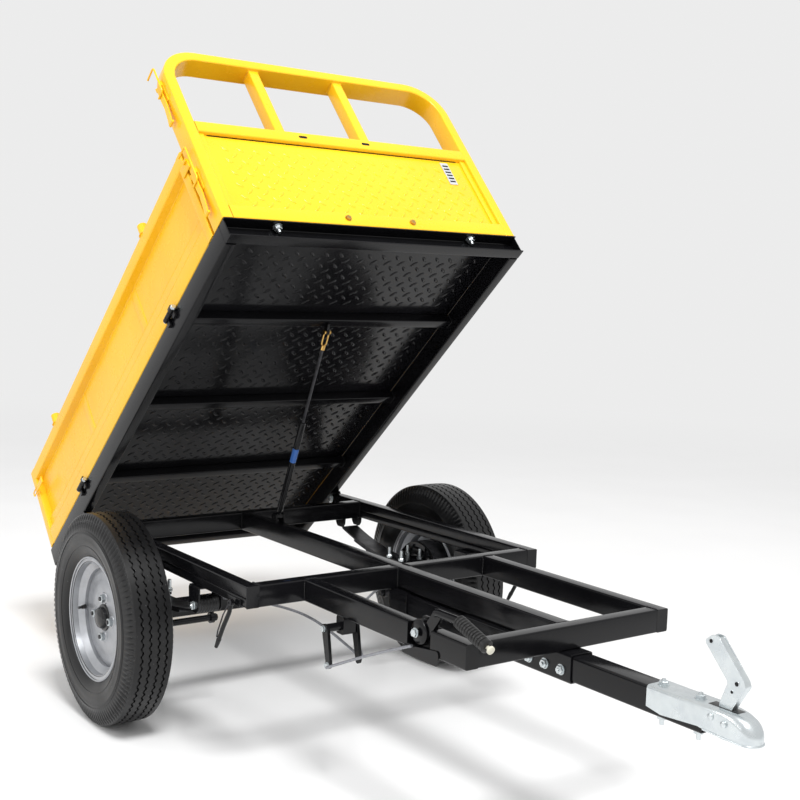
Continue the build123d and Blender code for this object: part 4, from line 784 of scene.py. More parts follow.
def suspension_pieces():
    """Springs, hangers, axle beam, clamp plates, U-bolts, backplates and cam shafts."""
    leaves, hangers, bushes = Shape(CHASSIS), Shape(CHASSIS), Shape(CHASSIS)
    for side, _ in SIDES:
        low, high = span(side, SPRING_Y - 30, SPRING_Y + 30)
        for index in range(len(LEAVES)):
            line = leaf_line(index, -1)[::-1] + leaf_line(index, 1)[1:]
            leaves.strip(line, LEAF - 0.6, 1, low, high)
        leaves.lathe([(-30, 13.5), (-30, 20.5), (30, 20.5), (30, 13.5)], (EYE_X, side * SPRING_Y, EYE_Z),
            (0, 1, 0), 40)
        for groove in range(7):
            offset = -24 + 8 * groove
            bushes.lathe([(offset, 12), (offset, 21), (offset + 1.5, 22), (offset + 4, 22),
                (offset + 5.5, 21), (offset + 5.5, 12)], (EYE_X, side * SPRING_Y, EYE_Z), (0, 1, 0), 40)
        for x, foot in ((EYE_X, EYE_Z - 18), (-EYE_X - 5, 388)):
            for inner, outer in ((394, 398), (458, 462)):
                y_low, y_high = span(side, inner, outer)
                outline = [(x - 30, BOTTOM), (x - 26, foot + 12), (x - 16, foot), (x + 16, foot),
                    (x + 26, foot + 12), (x + 30, BOTTOM)]
                hangers.prism(rounded(outline, 9), 1, y_low, y_high)
            roof_low, roof_high = span(side, 396, 460)
            hangers.beam((x - 29, roof_low, BOTTOM - 4), (x + 29, roof_high, BOTTOM), 0, 0, 1)
    leaves.done("leaf_pack", STEEL, "axle", ["leaf_springs"], 0.8, "spring_black")
    bushes.done("eye_bush_ribs", GRIP, "chassis", (), 0.3)
    hangers.done("spring_hanger_plates", BLACK, "chassis", ["spring_hangers"], 0.8)
    spots = [((EYE_X, side * edge, EYE_Z), (0, side if edge > SPRING_Y else -side, 0))
             for side, _ in SIDES for edge in (394, 462)]
    hex_heads("eye_bolt_heads", spots, ZINC, "chassis", CHASSIS, 9.0, 6.0, 11.5, 2.0)

    beam = Shape(CHASSIS)
    beam.beam((-22.5, -469, AXLE_Z - 22.5), (22.5, 469, AXLE_Z + 22.5), 1, 0, 5)
    for side, _ in SIDES:
        beam.rod((0, side * 469, AXLE_Z), (0, side * 476, AXLE_Z), 42, 40)
        beam.rod((0, side * 476, AXLE_Z), (0, side * 572, AXLE_Z), 12.5, 32)
    beam.done("axle_bar", BLACK, "axle", ["axle_beam"], 0.8)
    plates, bows, nuts = Shape(CHASSIS), Shape(CHASSIS), []
    for side, _ in SIDES:
        low, high = span(side, SPRING_Y - 41.5, SPRING_Y + 41.5)
        plates.beam((-41, low, PACK_TOP), (41, high, PACK_TOP + 8), 2, 0, 8)
        for dy in (-35.5, 35.5):
            y = side * SPRING_Y + dy
            bow = filleted([(-32, y, 375), (-32, y, 256.5), (32, y, 256.5), (32, y, 375)], 8)
            bows.pipe(bow, 5, 14)
            for turn in range(6):
                for x in (-32, 32):
                    foot = 352 + 3.5 * turn
                    bows.lathe([(0, 4), (0, 5), (1.2, 5.35), (2.4, 5), (2.4, 4)], (x, y, foot), (0, 0, 1),
                        16)
            nuts += [((x, y, PACK_TOP + 8), (0, 0, 1)) for x in (-32, 32)]
    plates.done("spring_clamp_plates", BLACK, "axle", ["spring_plates"], 0.8)
    bows.done("u_bolt_bows", ZINC, "axle", ["u_bolts"])
    hex_heads("u_bolt_nuts", nuts, ZINC, "axle", CHASSIS, 7.5, 8.0, 8.6)

    covers = Shape(CHASSIS)
    for side, _ in SIDES:
        profile = [(0, 13), (0, 60), (-4, 66), (-4, 84), (0, 90), (0, 104), (3, 104), (3, 13)]
        covers.lathe(profile, (0, side * 476, AXLE_Z), (0, side, 0), 64)
    covers.done("backplate_discs", BLACK, "axle", ["backplates"], 0.5)
    for side, word in SIDES:
        cam = Shape(CHASSIS)
        cam.rod((88, side * 486, 268), (88, side * 284, 268), 9, 28)
        cam.rod((88, side * 298, 268), (88, side * 286, 268), 15, 28)
        blade = [(77, 268), (99, 268), (96, 335), (80, 335)]
        y_low, y_high = span(side, 289, 295)
        cam.prism(rounded(blade, 7), 1, y_low, y_high)
        cam.done(f"cam_shaft_{word}_bar", BLACK, f"cam_shaft_{word}", [f"cam_shaft_{word}"], 0.6)
        hex_heads(f"cam_shaft_{word}_end", [((88, side * 284, 268), (0, -side, 0))], BLACK,
            f"cam_shaft_{word}", CHASSIS, 9.0, 7.0, 11.0)


# ---------------------------------------------------------------- wheels

TYRE_RADIUS = 284
TREAD_STEPS = 336
GROOVES = (-33, -11.5, 11.5, 33)
NUT_CIRCLE, QUARTERS = 52, [math.radians(90 * turn) for turn in range(4)]


def crown(across):
    """The tread's radius at a place across it."""
    return TYRE_RADIUS - 1.6 * (across / 50) ** 2


def tread_section(step):
    """One section of the tyre: (across, radius) points, with zigzag grooves and notched shoulders."""
    zig = 2.2 if (step // 2) % 2 else -2.2
    notch = 4.0 if step % 3 == 0 else 0.0
    bead = [(-48, 153), (-48, 160), (-49.5, 168), (-53, 172), (-58, 180), (-62, 193), (-65, 205)]
    flank = [(-66, 214), (-65.5, 224), (-66, 225.5), (-66, 228.5), (-65, 230), (-63.5, 242)]
    shoulder = [(-62 + notch * 0.6, 252), (-60 + notch, 262), (-57 + notch, 270 - notch), (-52, 279)]
    left = bead + flank + shoulder + [(-49.5, crown(-49.5))]
    tread = []
    for centre in GROOVES:
        shift = centre + zig
        tread += [(shift - 2.6, crown(shift)), (shift - 1.7, crown(shift) - 6),
            (shift + 1.7, crown(shift) - 6), (shift + 2.6, crown(shift))]
    right = [(-y, r) for y, r in reversed(left)]
    inside = [(38, 153), (54, 212), (44, 262), (0, 264), (-44, 262), (-54, 212), (-38, 153)]
    return left + tread + right + inside


def rim_outline():
    """Pressed rim section as (across from the wheel's middle, radius), outer face towards plus."""
    return [(52, 166), (50.5, 167.5), (48.5, 165), (48.5, 154.5), (34, 152), (30, 147), (20, 136),
        (-22, 136), (-32, 147), (-36, 152), (-48.5, 154.5), (-48.5, 165), (-50.5, 167.5), (-52, 166)]


def wheel_pieces():
    """Tyre, rim, hub drum, nuts, cap and valve of both wheels."""
    for side, word in SIDES:
        body = f"wheel_{word}"
        hub = Vector((0, side * WHEEL_Y, AXLE_Z))
        out = Vector((0, side, 0))

        def turned(along, radius, angle):
            return hub + out * along + Vector((math.sin(angle), 0, math.cos(angle))) * radius

        tyre = Shape(CHASSIS)
        loops = []
        for step in range(TREAD_STEPS):
            angle = 2 * math.pi * step / TREAD_STEPS
            loops.append([turned(y, r, angle) for y, r in tread_section(step)])
        tyre.skin(loops, closed_ring=True)
        for radius, offset in ((196, 62.7), (236, 64.4)):
            ridge = [turned(offset, radius, 2 * math.pi * step / 96) for step in range(96)]
            tyre.pipe(ridge, 1.0, 6, closed=True)
        tyre.done(f"tyre_{word}_tread", TYRE, body, [f"tyre_{word}"])

        rim = Shape(CHASSIS)
        profile = rim_outline() + [(y * 0.97, radius - 3.2) for y, radius in reversed(rim_outline())]
        rim.lathe(profile, hub, out, 96)
        dish = [(8, 135), (12, 128), (14, 117), (12.5, 108), (15, 99), (17.2, 88), (17.5, 70), (17.5, 36),
            (14.2, 36), (14.2, 70), (13.6, 88), (11.5, 98), (9, 108), (10.5, 117), (9, 127), (5, 134)]
        rim.lathe(dish, hub, out, 96)
        for angle in QUARTERS:
            seat = [(16, 19), (19.5, 15.5), (20.2, 12), (17.4, 8), (17.4, 19)]
            rim.lathe(seat, turned(0, NUT_CIRCLE, angle), out, 32)
        rim.done(f"rim_{word}_pressing", SILVER, body, [f"rim_{word}"])
        valve = Shape(CHASSIS)
        foot, tip = turned(20, 128, math.radians(-90)), turned(41, 124, math.radians(-90))
        valve.rod(foot, foot.lerp(tip, 0.55), 6.5, 16, 5)
        valve.rod(foot.lerp(tip, 0.5), tip, 3.8, 16)
        valve.done(f"valve_{word}_stem", CAP, body, slot="rim_silver")

        drum = Shape(CHASSIS)
        drum.lathe([(-67, 101), (-67, 106), (10, 106), (14, 100), (14, 30), (14, 12.6), (-67, 12.6),
            (-67, 30), (8, 30), (8, 101)], hub, out, 72)
        for angle in QUARTERS:
            drum.rod(turned(14, NUT_CIRCLE, angle), turned(33, NUT_CIRCLE, angle), 6, 20)
        drum.done(f"hub_drum_{word}_casting", STEEL, body, [f"hub_drum_{word}"], 0.8)
        spots = [(tuple(turned(17.5, NUT_CIRCLE, angle)), tuple(out)) for angle in QUARTERS]
        hex_heads(f"wheel_nuts_{word}_plated", spots, ZINC, body, CHASSIS, 9.5, 11.0, 10.5, 2.0,
            [f"wheel_nuts_{word}"])
        cap = Shape(CHASSIS)
        dome = [(14.5, 0), (14.5, 35.5), (18.5, 36.8), (21, 35.5), (22.5, 30), (29, 29), (34.5, 25.5),
            (38, 18), (39.7, 9), (40, 0)]
        cap.lathe(dome, hub, out, 56)
        cap.done(f"dust_cap_{word}_dome", CAP, body, [f"dust_cap_{word}"])


# ---------------------------------------------------------------- tipping box

BOX_OUTER, BOX_INNER, BOX_LENGTH = 457, 427, 1503
CHANNEL_FRONT, CHANNEL_BOTTOM = 1537, -59
MEMBERS = (0, 420, 788, 1164)
FRAME_REAR, FRAME_FRONT, FRAME_TOP, FRAME_CORNER, FRAME_TUBE = 1475, 1535, 602, 115, 30
SILL_TOP, MID_LOW, MID_HIGH = 43, 295, 332
UPRIGHTS = (-170, 100)
WALL_U, WALL_HIGH, WALL_OUT = (6, 1466), 287, 457
SIDE_HINGES, SIDE_HINGE_Y = (375, 1170), 465
STAKE_PLACES = (290, 1160)


def box_frame_pieces():
    """Rails, cross members, front channel and floor of the tipping box."""
    rails = Shape(BOX)
    for side, _ in SIDES:
        low, high = span(side, BOX_INNER, BOX_OUTER)
        rails.beam((0, low, -60), (BOX_LENGTH, high, 0), 0, 0, 3.5)
        outline = [(PIVOT_U - 20, -58), (PIVOT_U + 20, -58), (PIVOT_U + 17, PIVOT_W - 6),
            (PIVOT_U, PIVOT_W - 17), (PIVOT_U - 17, PIVOT_W - 6)]
        tab_low, tab_high = span(side, 452, 457)
        rails.prism(rounded(outline, 9), 1, tab_low, tab_high)
    rails.done("box_rails_tube", BLACK, "box", ["box_rails"], 0.7)
    members = Shape(BOX)
    for u in MEMBERS:
        members.beam((u, -BOX_INNER, -31), (u + 30, BOX_INNER, -3), 1, 2.5, 3)
    for y in (-340, -120, 120, 340):
        members.rod((-9, y, -14), (-9, y + 36, -14), 7.5, 24)
        members.beam((-9, y, -21), (2, y + 36, -6), 1, 0, 1)
    lug = [(1150, -46), (1160, -58), (1170, -46), (1194, -30), (1162, -30)]
    members.prism(rounded(lug, 5), 1, -4, 4)
    members.done("box_crossmembers_tube", BLACK, "box", ["box_crossmembers"], 0.6)
    channel = Shape(BOX)
    front, back = CHANNEL_FRONT, BOX_LENGTH
    line = [(front, -3 - 1.5), (back + 1.5, -3 - 1.5), (back + 1.5, CHANNEL_BOTTOM + 1.5),
        (front, CHANNEL_BOTTOM + 1.5)]
    channel.strip(rounded(line, 4, False, 4), 3, 1, -BOX_OUTER, BOX_OUTER)
    for side, _ in SIDES:
        low, high = span(side, BOX_OUTER - 3, BOX_OUTER)
        channel.beam((back + 1, low, CHANNEL_BOTTOM + 1), (front - 6, high, -4), 0, 0, 1)
    channel.done("front_channel_sheet", BLACK, "box", ["front_channel"], 0.8)
    spots = [((1518, side * 303, -6), (0, 0, -1)) for side, _ in SIDES]
    hex_heads("channel_nuts", spots, ZINC, "box", BOX, 9, 9, 13, 9)
    floor = Shape(BOX)
    floor.beam((3, -426, -3), (FRAME_FRONT - 2, 426, 0), 0, 0, 0.5)
    floor.done("floor_sheet", BLACK, "box", ["floor_plate"])
    fields = [(33, 420), (450, 788), (818, 1164), (1194, 1446)]
    for number, (low, high) in enumerate(fields):
        under = BOX @ Matrix.Translation(((low + high) / 2, 0, -3.0))
        chequer(f"floor_chequer_under_{number}", high - low - 22, 800, BLACK, "box", under)
    over = BOX @ Matrix.Translation((740, 0, 0.0))
    chequer("floor_chequer_over", 1420, 840, BLACK, "box", over)
    lines = []
    for side, _ in SIDES:
        for u in MEMBERS:
            lines += [((u + 2, side * BOX_INNER, -31), (u + 28, side * BOX_INNER, -31))]
            lines += [((u + edge, side * BOX_INNER, -29),
                (u + edge, side * BOX_INNER, -5)) for edge in (0, 30)]
        lines.append(((BOX_LENGTH, side * BOX_INNER, -57), (BOX_LENGTH, side * BOX_INNER, -5)))
    welds("box_welds", lines, BLACK, "box", BOX, 2.0, 2.4)


def frame_path(inset):
    """Corner points of the front frame's outline, in (y, w), inset by a distance."""
    side, top = BOX_OUTER - inset, FRAME_TOP - inset
    corner = FRAME_CORNER - inset
    points = [(-side, inset)]
    for centre, start in (((-side + corner, top - corner), 180), ((side - corner, top - corner), 90)):
        for step in range(13):
            angle = math.radians(start - 90 * step / 12)
            points.append((centre[0] + corner * math.cos(angle), centre[1] + corner * math.sin(angle)))
    points.append((side, inset))
    return points


def front_frame_pieces():
    """Bent front frame with sill, middle rail, uprights, panel and its screws."""
    arch = Shape(BOX)
    half = FRAME_TUBE / 2
    middle_u = (FRAME_REAR + FRAME_FRONT) / 2
    section = rounded_loop((FRAME_FRONT - FRAME_REAR) / 2, half, 4)
    path = frame_path(half)
    path[0] = (path[0][0], 0)
    path[-1] = (path[-1][0], 0)
    loops = []
    for index, (y, w) in enumerate(path):
        back = path[max(index - 1, 0)]
        ahead = path[min(index + 1, len(path) - 1)]
        along = Vector((ahead[0] - back[0], ahead[1] - back[1])).normalized()
        outward = Vector((-along.y, along.x))
        loops.append([(middle_u + a, y + outward.x * b, w + outward.y * b) for a, b in section])
    arch.skin(loops)
    inner = BOX_OUTER - FRAME_TUBE
    arch.beam((FRAME_REAR, -inner, 0), (FRAME_FRONT, inner, SILL_TOP), 1, 2, 3)
    arch.beam((FRAME_REAR, -inner, MID_LOW), (FRAME_FRONT, inner, MID_HIGH), 1, 2, 4)
    for y in UPRIGHTS:
        arch.beam((FRAME_REAR + 10, y - 15, MID_HIGH - 1),
            (FRAME_FRONT - 10, y + 15, FRAME_TOP - FRAME_TUBE + 1), 2, 0, 4)
    arch.done("front_frame_tube", YELLOW, "box", ["front_frame"], 0.7)
    panel = Shape(BOX)
    panel.beam((1520, -inner, SILL_TOP), (1522, inner, MID_LOW), 2, 0, 0.5)
    for y in (-inner + 9, inner - 9):
        panel.beam((1519, y - 9, SILL_TOP), (1527, y + 9, MID_LOW), 2, 0, 2)
    panel.done("front_panel_sheet", YELLOW, "box", ["front_panel"])
    # Painted shade: black slot faces on the middle rail and a black strip below it stand in for the shadow
    # inside the slots and in the gap between the middle rail and the panel.
    painted_gap_shade = Shape(BOX)
    for y in (-115, 85):
        painted_gap_shade.prism(rounded_loop_at(y, 314, 13, 4.5), 0, FRAME_FRONT - 2, FRAME_FRONT + 0.25)
    painted_gap_shade.beam((1521, -400, MID_LOW - 3.2), (1523.4, 396, MID_LOW - 0.4), 1, 0, 0.5)
    painted_gap_shade.done("front_panel_painted_gap_shade", BLACK, "box")
    place = BOX @ Matrix(((0, 0, 1, 1522), (0, 1, 0, -4), (-1, 0, 0, 169), (0, 0, 0, 1)))
    chequer("front_panel_chequer", 250, 790, YELLOW, "box", place)
    back = BOX @ Matrix(((0, 0, -1, 1520), (0, 1, 0, -4), (-1, 0, 0, 169), (0, 0, 0, 1)))
    chequer("front_panel_chequer_back", 250, 790, YELLOW, "box", back)
    spots = [((FRAME_FRONT, y, 23), (1, 0, 0)) for y in (-92, 112)]
    hex_heads("sill_screws", spots, YELLOW_ZINC, "box", BOX, 6.5, 5, 9)
    lines = []
    for y in UPRIGHTS:
        for w in (MID_HIGH, FRAME_TOP - FRAME_TUBE):
            lines.append(((FRAME_FRONT - 10, y - 13, w), (FRAME_FRONT - 10, y + 13, w)))
            for edge in (-15, 15):
                lines.append(((FRAME_REAR + 12, y + edge, w), (FRAME_FRONT - 12, y + edge, w)))
    for side, _ in SIDES:
        for w in (SILL_TOP, MID_LOW, MID_HIGH):
            lines.append(((FRAME_REAR + 4, side * inner, w), (FRAME_FRONT - 4, side * inner, w)))
    welds("front_frame_welds", lines, YELLOW, "box", BOX, 1.8, 2.2)
    plate = Shape(BOX)
    plate.beam((1522, 333, 199), (1524.4, 360, 283), 2, 0, 0.6)
    plate.done("rating_plate_sheet", LABEL, "box")
    marks = Shape(BOX)
    for row in range(6):
        marks.beam((1524.2, 337, 208 + 12 * row), (1525.2, 356, 213 + 12 * row), 1, 0, 0.3)
    marks.done("rating_plate_bars", BLACK, "box")


WALL_SECTION = [
    (26, 250), (26, 286), (1, 286), (1, 249), (23, 243), (23, 100),
    (12, 92), (12, 58), (2, 52), (2, 3.7), (26, 3.7), (26, 12),
]


def pressed_line(outer, inward):
    """Middle line of the pressed wall sheet with small bend radii: depths run inwards."""
    return rounded([(outer + inward * depth, height) for depth, height in WALL_SECTION], 3, False)


def side_wall_pieces():
    """Both side walls with posts, pressed ribs, stake sockets, hinge knuckles and striker."""
    for side, word in SIDES:
        body = f"side_wall_{word}"
        wall = Shape(BOX)
        wall.strip(pressed_line(side * WALL_OUT, -side), 2, 0, WALL_U[0] + 2, WALL_U[1] - 2)
        low, high = span(side, 430.3, WALL_OUT - 0.3)
        for start in (WALL_U[0], WALL_U[1] - 30):
            wall.beam((start, low, 2.9), (start + 30, high, WALL_HIGH - 0.3), 2, 0, 3)
        for middle in (500, 985):
            rib_low, rib_high = span(side, 433.5, 436.6)
            wall.beam((middle - 17, rib_low, 103), (middle + 17, rib_high, 240), 2, 0, 1.4)
        for depth, height in ((2.4, 52.5), (12.4, 92.5)):
            crease = side * (WALL_OUT - depth)
            wall.pipe([(WALL_U[0] + 30, crease, height), (WALL_U[1] - 30, crease, height)], 2, 10)
        for u in STAKE_PLACES:
            wall.lathe([(-4, 6.05), (-4, 14), (33, 14), (33, 6.05)], (u, side * 443.5, WALL_HIGH),
                (0, 0, 1), 36)
            wall.lathe([(3, 14), (1, 16.5), (0, 18), (-1, 14)], (u, side * 443.5, WALL_HIGH), (0, 0, 1), 36)
        straps = Shape(BOX)
        for u in SIDE_HINGES:
            straps.lathe([(-10, 5.2), (-10, 7.5), (10, 7.5), (10, 5.2)], (u, side * SIDE_HINGE_Y, 0),
                (1, 0, 0), 24)
            strap_low, strap_high = span(side, 456, 459)
            straps.beam((u - 10, strap_low, 3), (u + 10, strap_high, 26), 2, 0, 1)
        straps.done(f"side_wall_{word}_straps", BLACK, body, (), 0.3)
        plate_low, plate_high = span(side, 457, 461)
        wall.beam((1446, plate_low, 212), (1488, plate_high, 240), 0, 0, 2)
        hook_low, hook_high = span(side, 461, 466)
        wall.beam((1472, hook_low, 232), (1488, hook_high, 240), 0, 0, 1.5)
        wall.done(f"side_wall_{word}_sheet", YELLOW, body, [f"side_wall_{word}"], 0.5)


def hinge_pieces():
    """Fixed hinge knuckles, their pins and the pivot bolts."""
    knuckles, pins = Shape(BOX), Shape(BOX)
    ends, pivots = [], []
    for side, _ in SIDES:
        for u in SIDE_HINGES:
            y = side * SIDE_HINGE_Y
            for start in (u - 26, u + 11):
                knuckles.rod((start, y, 0), (start + 15, y, 0), 7.5, 24)
                low, high = span(side, BOX_OUTER, SIDE_HINGE_Y)
                knuckles.beam((start, low, -22), (start + 15, high, -1), 2, 0, 1.5)
            pins.rod((u - 30, y, 0), (u + 30, y, 0), 5, 20)
            ends.append(((u + 28, y, 0), (1, 0, 0)))
        for y, facing in ((457, side), (424, -side)):
            pivots.append(((PIVOT_U, side * y, PIVOT_W), (0, facing, 0)))
    knuckles.done("side_hinge_knuckles", BLACK, "box", ["side_hinges"], 0.5)
    pins.done("side_hinge_pins", ZINC, "box")
    hex_heads("side_hinge_nuts", ends, ZINC, "box", BOX, 6.5, 6, 7.2)
    bolts = Shape(BOX)
    for side, _ in SIDES:
        bolts.rod((PIVOT_U, side * 424, PIVOT_W), (PIVOT_U, side * 457, PIVOT_W), 7.9, 24)
    bolts.done("pivot_bolt_shanks", ZINC, "box", ["pivot_bolts"])
    hex_heads("pivot_bolt_heads", pivots, ZINC, "box", BOX, 11, 6, 14)


def tailgate_pieces():
    """Tailgate with posts and knuckles."""
    gate = Shape(BOX)
    section = [(u, w) for u, w in pressed_line(2, 1)]
    gate.strip(section, 2, 1, -424, 424)
    for side, _ in SIDES:
        low, high = span(side, 396, 425)
        gate.beam((2.3, low, 3), (28.7, high, WALL_HIGH - 0.3), 2, 0, 3)
    for y in (-340, -120, 120, 340):
        gate.lathe([(37, 5.2), (37, 7.5), (72, 7.5), (72, 5.2)], (-9, y, -14), (0, 1, 0), 24)
        gate.beam((-10, y + 38, -12), (2.6, y + 70, 4), 1, 0, 1.5)
    gate.done("tailgate_sheet", YELLOW, "tailgate", ["tailgate"], 0.5)


LATCH_U, LATCH_Y = 1497, 463
LATCH_HINGES = {"lower": 178, "upper": 488}
WIRE = 2.5


def latch_pieces():
    """Latch plates, levers and wire bails on the front frame, and the rear latches."""
    bases = Shape(BOX)
    for side, word in SIDES:
        for level, hinge in LATCH_HINGES.items():
            low, high = span(side, BOX_OUTER, BOX_OUTER + 2)
            bases.beam((LATCH_U - 14, low, hinge - 60), (LATCH_U + 14, high, hinge + 14), 2, 0, 0.9)
            for start in (LATCH_U - 14, LATCH_U + 11):
                ear_low, ear_high = span(side, BOX_OUTER + 1, LATCH_Y + 3)
                bases.beam((start, ear_low, hinge - 7), (start + 3, ear_high, hinge + 7), 0, 0, 1)
            lever = Shape(BOX)
            y = side * (LATCH_Y + 2.5)
            line = [(y, hinge), (y, hinge - 40), (y - side * 1.5, hinge - 70),
                (y + side * 2, hinge - 112), (y + side * 5, hinge - 134)]
            lever.strip(rounded(line, 20, False, 5), 3, 0, LATCH_U - 9, LATCH_U + 9)
            lever.rod((LATCH_U - 12.5, side * LATCH_Y, hinge), (LATCH_U + 12.5, side * LATCH_Y, hinge), 3,
                20)
            lever.rod((LATCH_U - 10, side * (LATCH_Y + 5), hinge - 134),
                (LATCH_U + 10, side * (LATCH_Y + 5), hinge - 134), 3.6, 20)
            name = f"latch_lever_{level}_{word}"
            lever.done(f"{name}_strap", YELLOW, name, [name], 0.4)
            bail = Shape(BOX)
            reach_u, wire_y = LATCH_U + 18, side * (LATCH_Y + 6.8)
            foot, top = hinge - 34, hinge + (77 if level == "lower" else 52)
            path = filleted([(LATCH_U - 10, wire_y, foot), (reach_u, wire_y, foot),
                (reach_u, wire_y, top), (1472, wire_y, top)], 8)
            bail.pipe(path, WIRE, 12)
            name = f"latch_bail_{level}_{word}"
            bail.done(f"{name}_wire", YELLOW, name, [name])
        rear = Shape(BOX)
        y = side * (BOX_OUTER + 6)
        low, high = span(side, BOX_OUTER + 6, BOX_OUTER + 8)
        rear.rod((96, y, 194), (96, y, 216), 3, 20)
        rear.beam((44, low, 196), (96, high, 214), 0, 0, 0.9)
        loop = filleted([(50, y + side, 198), (5, y + side, 198), (5, y + side, 212),
            (50, y + side, 212)], 5)
        rear.pipe(loop, 2, 12)
        rear.done(f"rear_latch_{word}_lever", YELLOW, f"rear_latch_{word}", [f"rear_latch_{word}"], 0.3)
        toggle = Shape(CHASSIS)
        path = [(530, side * 467, 436), (520, side * 467, 408), (490, side * 468, 362),
            (463, side * 467, 318)]
        toggle.pipe(filleted(path, 40), 5.4, 16)
        toggle.rod((470, side * 467, 330), (456, side * 467, 307), 6.2, 20, 4.5)
        toggle.lathe([(-3, 3.2), (-3, 8.5), (3, 8.5), (3, 3.2)], (530, side * 467, 435), (0, 1, 0), 28)
        toggle.done(f"rail_toggle_{word}_lever", BLACK, f"rail_toggle_{word}", [f"rail_toggle_{word}"])
        bow = Shape(CHASSIS)
        path = [(524, side * 472, 430), (500, side * 473, 398), (474, side * 473, 352),
            (468, side * 472, 336)]
        bow.pipe(filleted(path, 60), 1.8, 10)
        bow.lathe([(4, 3.2), (4, 7), (7, 7), (7, 3.2)], (530, side * 467, 435), (0, side, 0), 20)
        bow.done(f"rail_toggle_{word}_bow", STEEL, f"rail_toggle_{word}")
    bases.done("latch_base_plates", YELLOW, "box", ["latch_bases"], 0.3)


# ---------------------------------------------------------------- strut

STRUT_BASE = Vector((-60, 0, 502))
STRUT_TUBE_LENGTH, STRUT_ROD = 322, 4


def strut_pieces():
    """Strut cylinder, rod with its fork, and the base bracket."""
    top = CHASSIS.inverted() @ (BOX @ Vector((1160, 0, -46)))
    along = (top - STRUT_BASE).normalized()
    square = along.cross(Vector((0, 1, 0)))
    length = (top - STRUT_BASE).length
    strut = base_of(STRUT_BASE * MM, along, (0, 1, 0), square)
    tube = Shape(strut)
    tube.lathe([(14, 4.1), (14, 7.5), (20, 9), (STRUT_TUBE_LENGTH - 4, 9), (STRUT_TUBE_LENGTH, 7.5),
        (STRUT_TUBE_LENGTH, 4.1)], (0, 0, 0), (1, 0, 0), 40)
    tube.lathe([(-9, 5.05), (-9, 11), (9, 11), (9, 5.05)], (0, 0, 0), (0, 1, 0), 32)
    tube.beam((8, -5, -6), (18, 5, 6), 0, 0, 2)
    tube.done("strut_cylinder_tube", BLACK, "strut_cylinder", ["strut_cylinder"], 0.3)
    label = Shape(strut)
    label.lathe([(190, 9.05), (190, 9.25), (235, 9.25), (235, 9.05)], (0, 0, 0), (1, 0, 0), 40)
    label.done("strut_label", LABEL_BLUE, "strut_cylinder")
    rod = Shape(strut)
    rod.rod((STRUT_TUBE_LENGTH - 90, 0, 0), (length - 50, 0, 0), STRUT_ROD, 24)
    rod.done("strut_rod_bar", STEEL, "strut_rod", ["strut_rod"], slot="zinc")
    fork = Shape(strut)
    fork.rod((length - 54, 0, 0), (length - 40, 0, 0), 6.5, 24)
    for side in (-1, 1):
        path = [(length - 42, 0, 0), (length - 37, side * 7.6, 0), (length - 22, side * 7.6, 0),
            (length, side * 7.6, 0)]
        fork.pipe(filleted(path, 5), 2.2, 12)
        fork.lathe([(-2.2, 0.01), (-2.2, 6.5), (2.2, 6.5), (2.2, 0.01)], (length, side * 7.8, 0),
            (0, 1, 0), 24)
    fork.done("strut_fork", YELLOW_ZINC, "strut_rod", (), 0.2)
    bracket = Shape(CHASSIS)
    for side, _ in SIDES:
        low, high = span(side, 10.5, 14.5)
        outline = [(-76, 482.5), (-44, 482.5), (-48, 508), (-60, 514), (-72, 508)]
        bracket.prism(rounded(outline, 5), 1, low, high)
    bracket.rod((-60, -18, 502), (-60, 18, 502), 5, 24)
    bracket.done("strut_bracket_ears", BLACK, "chassis", ["strut_bracket"], 0.5)


# ---------------------------------------------------------------- hand brake

BRAKE_X, BRAKE_Z = 1045, 468
GRIP_START, GRIP_END = Vector((1168, -286, 521)), Vector((1263, -286, 490))
CROSS_X, CROSS_Z = 736, 404
FOOT_X, FOOT_Z = 756, 322


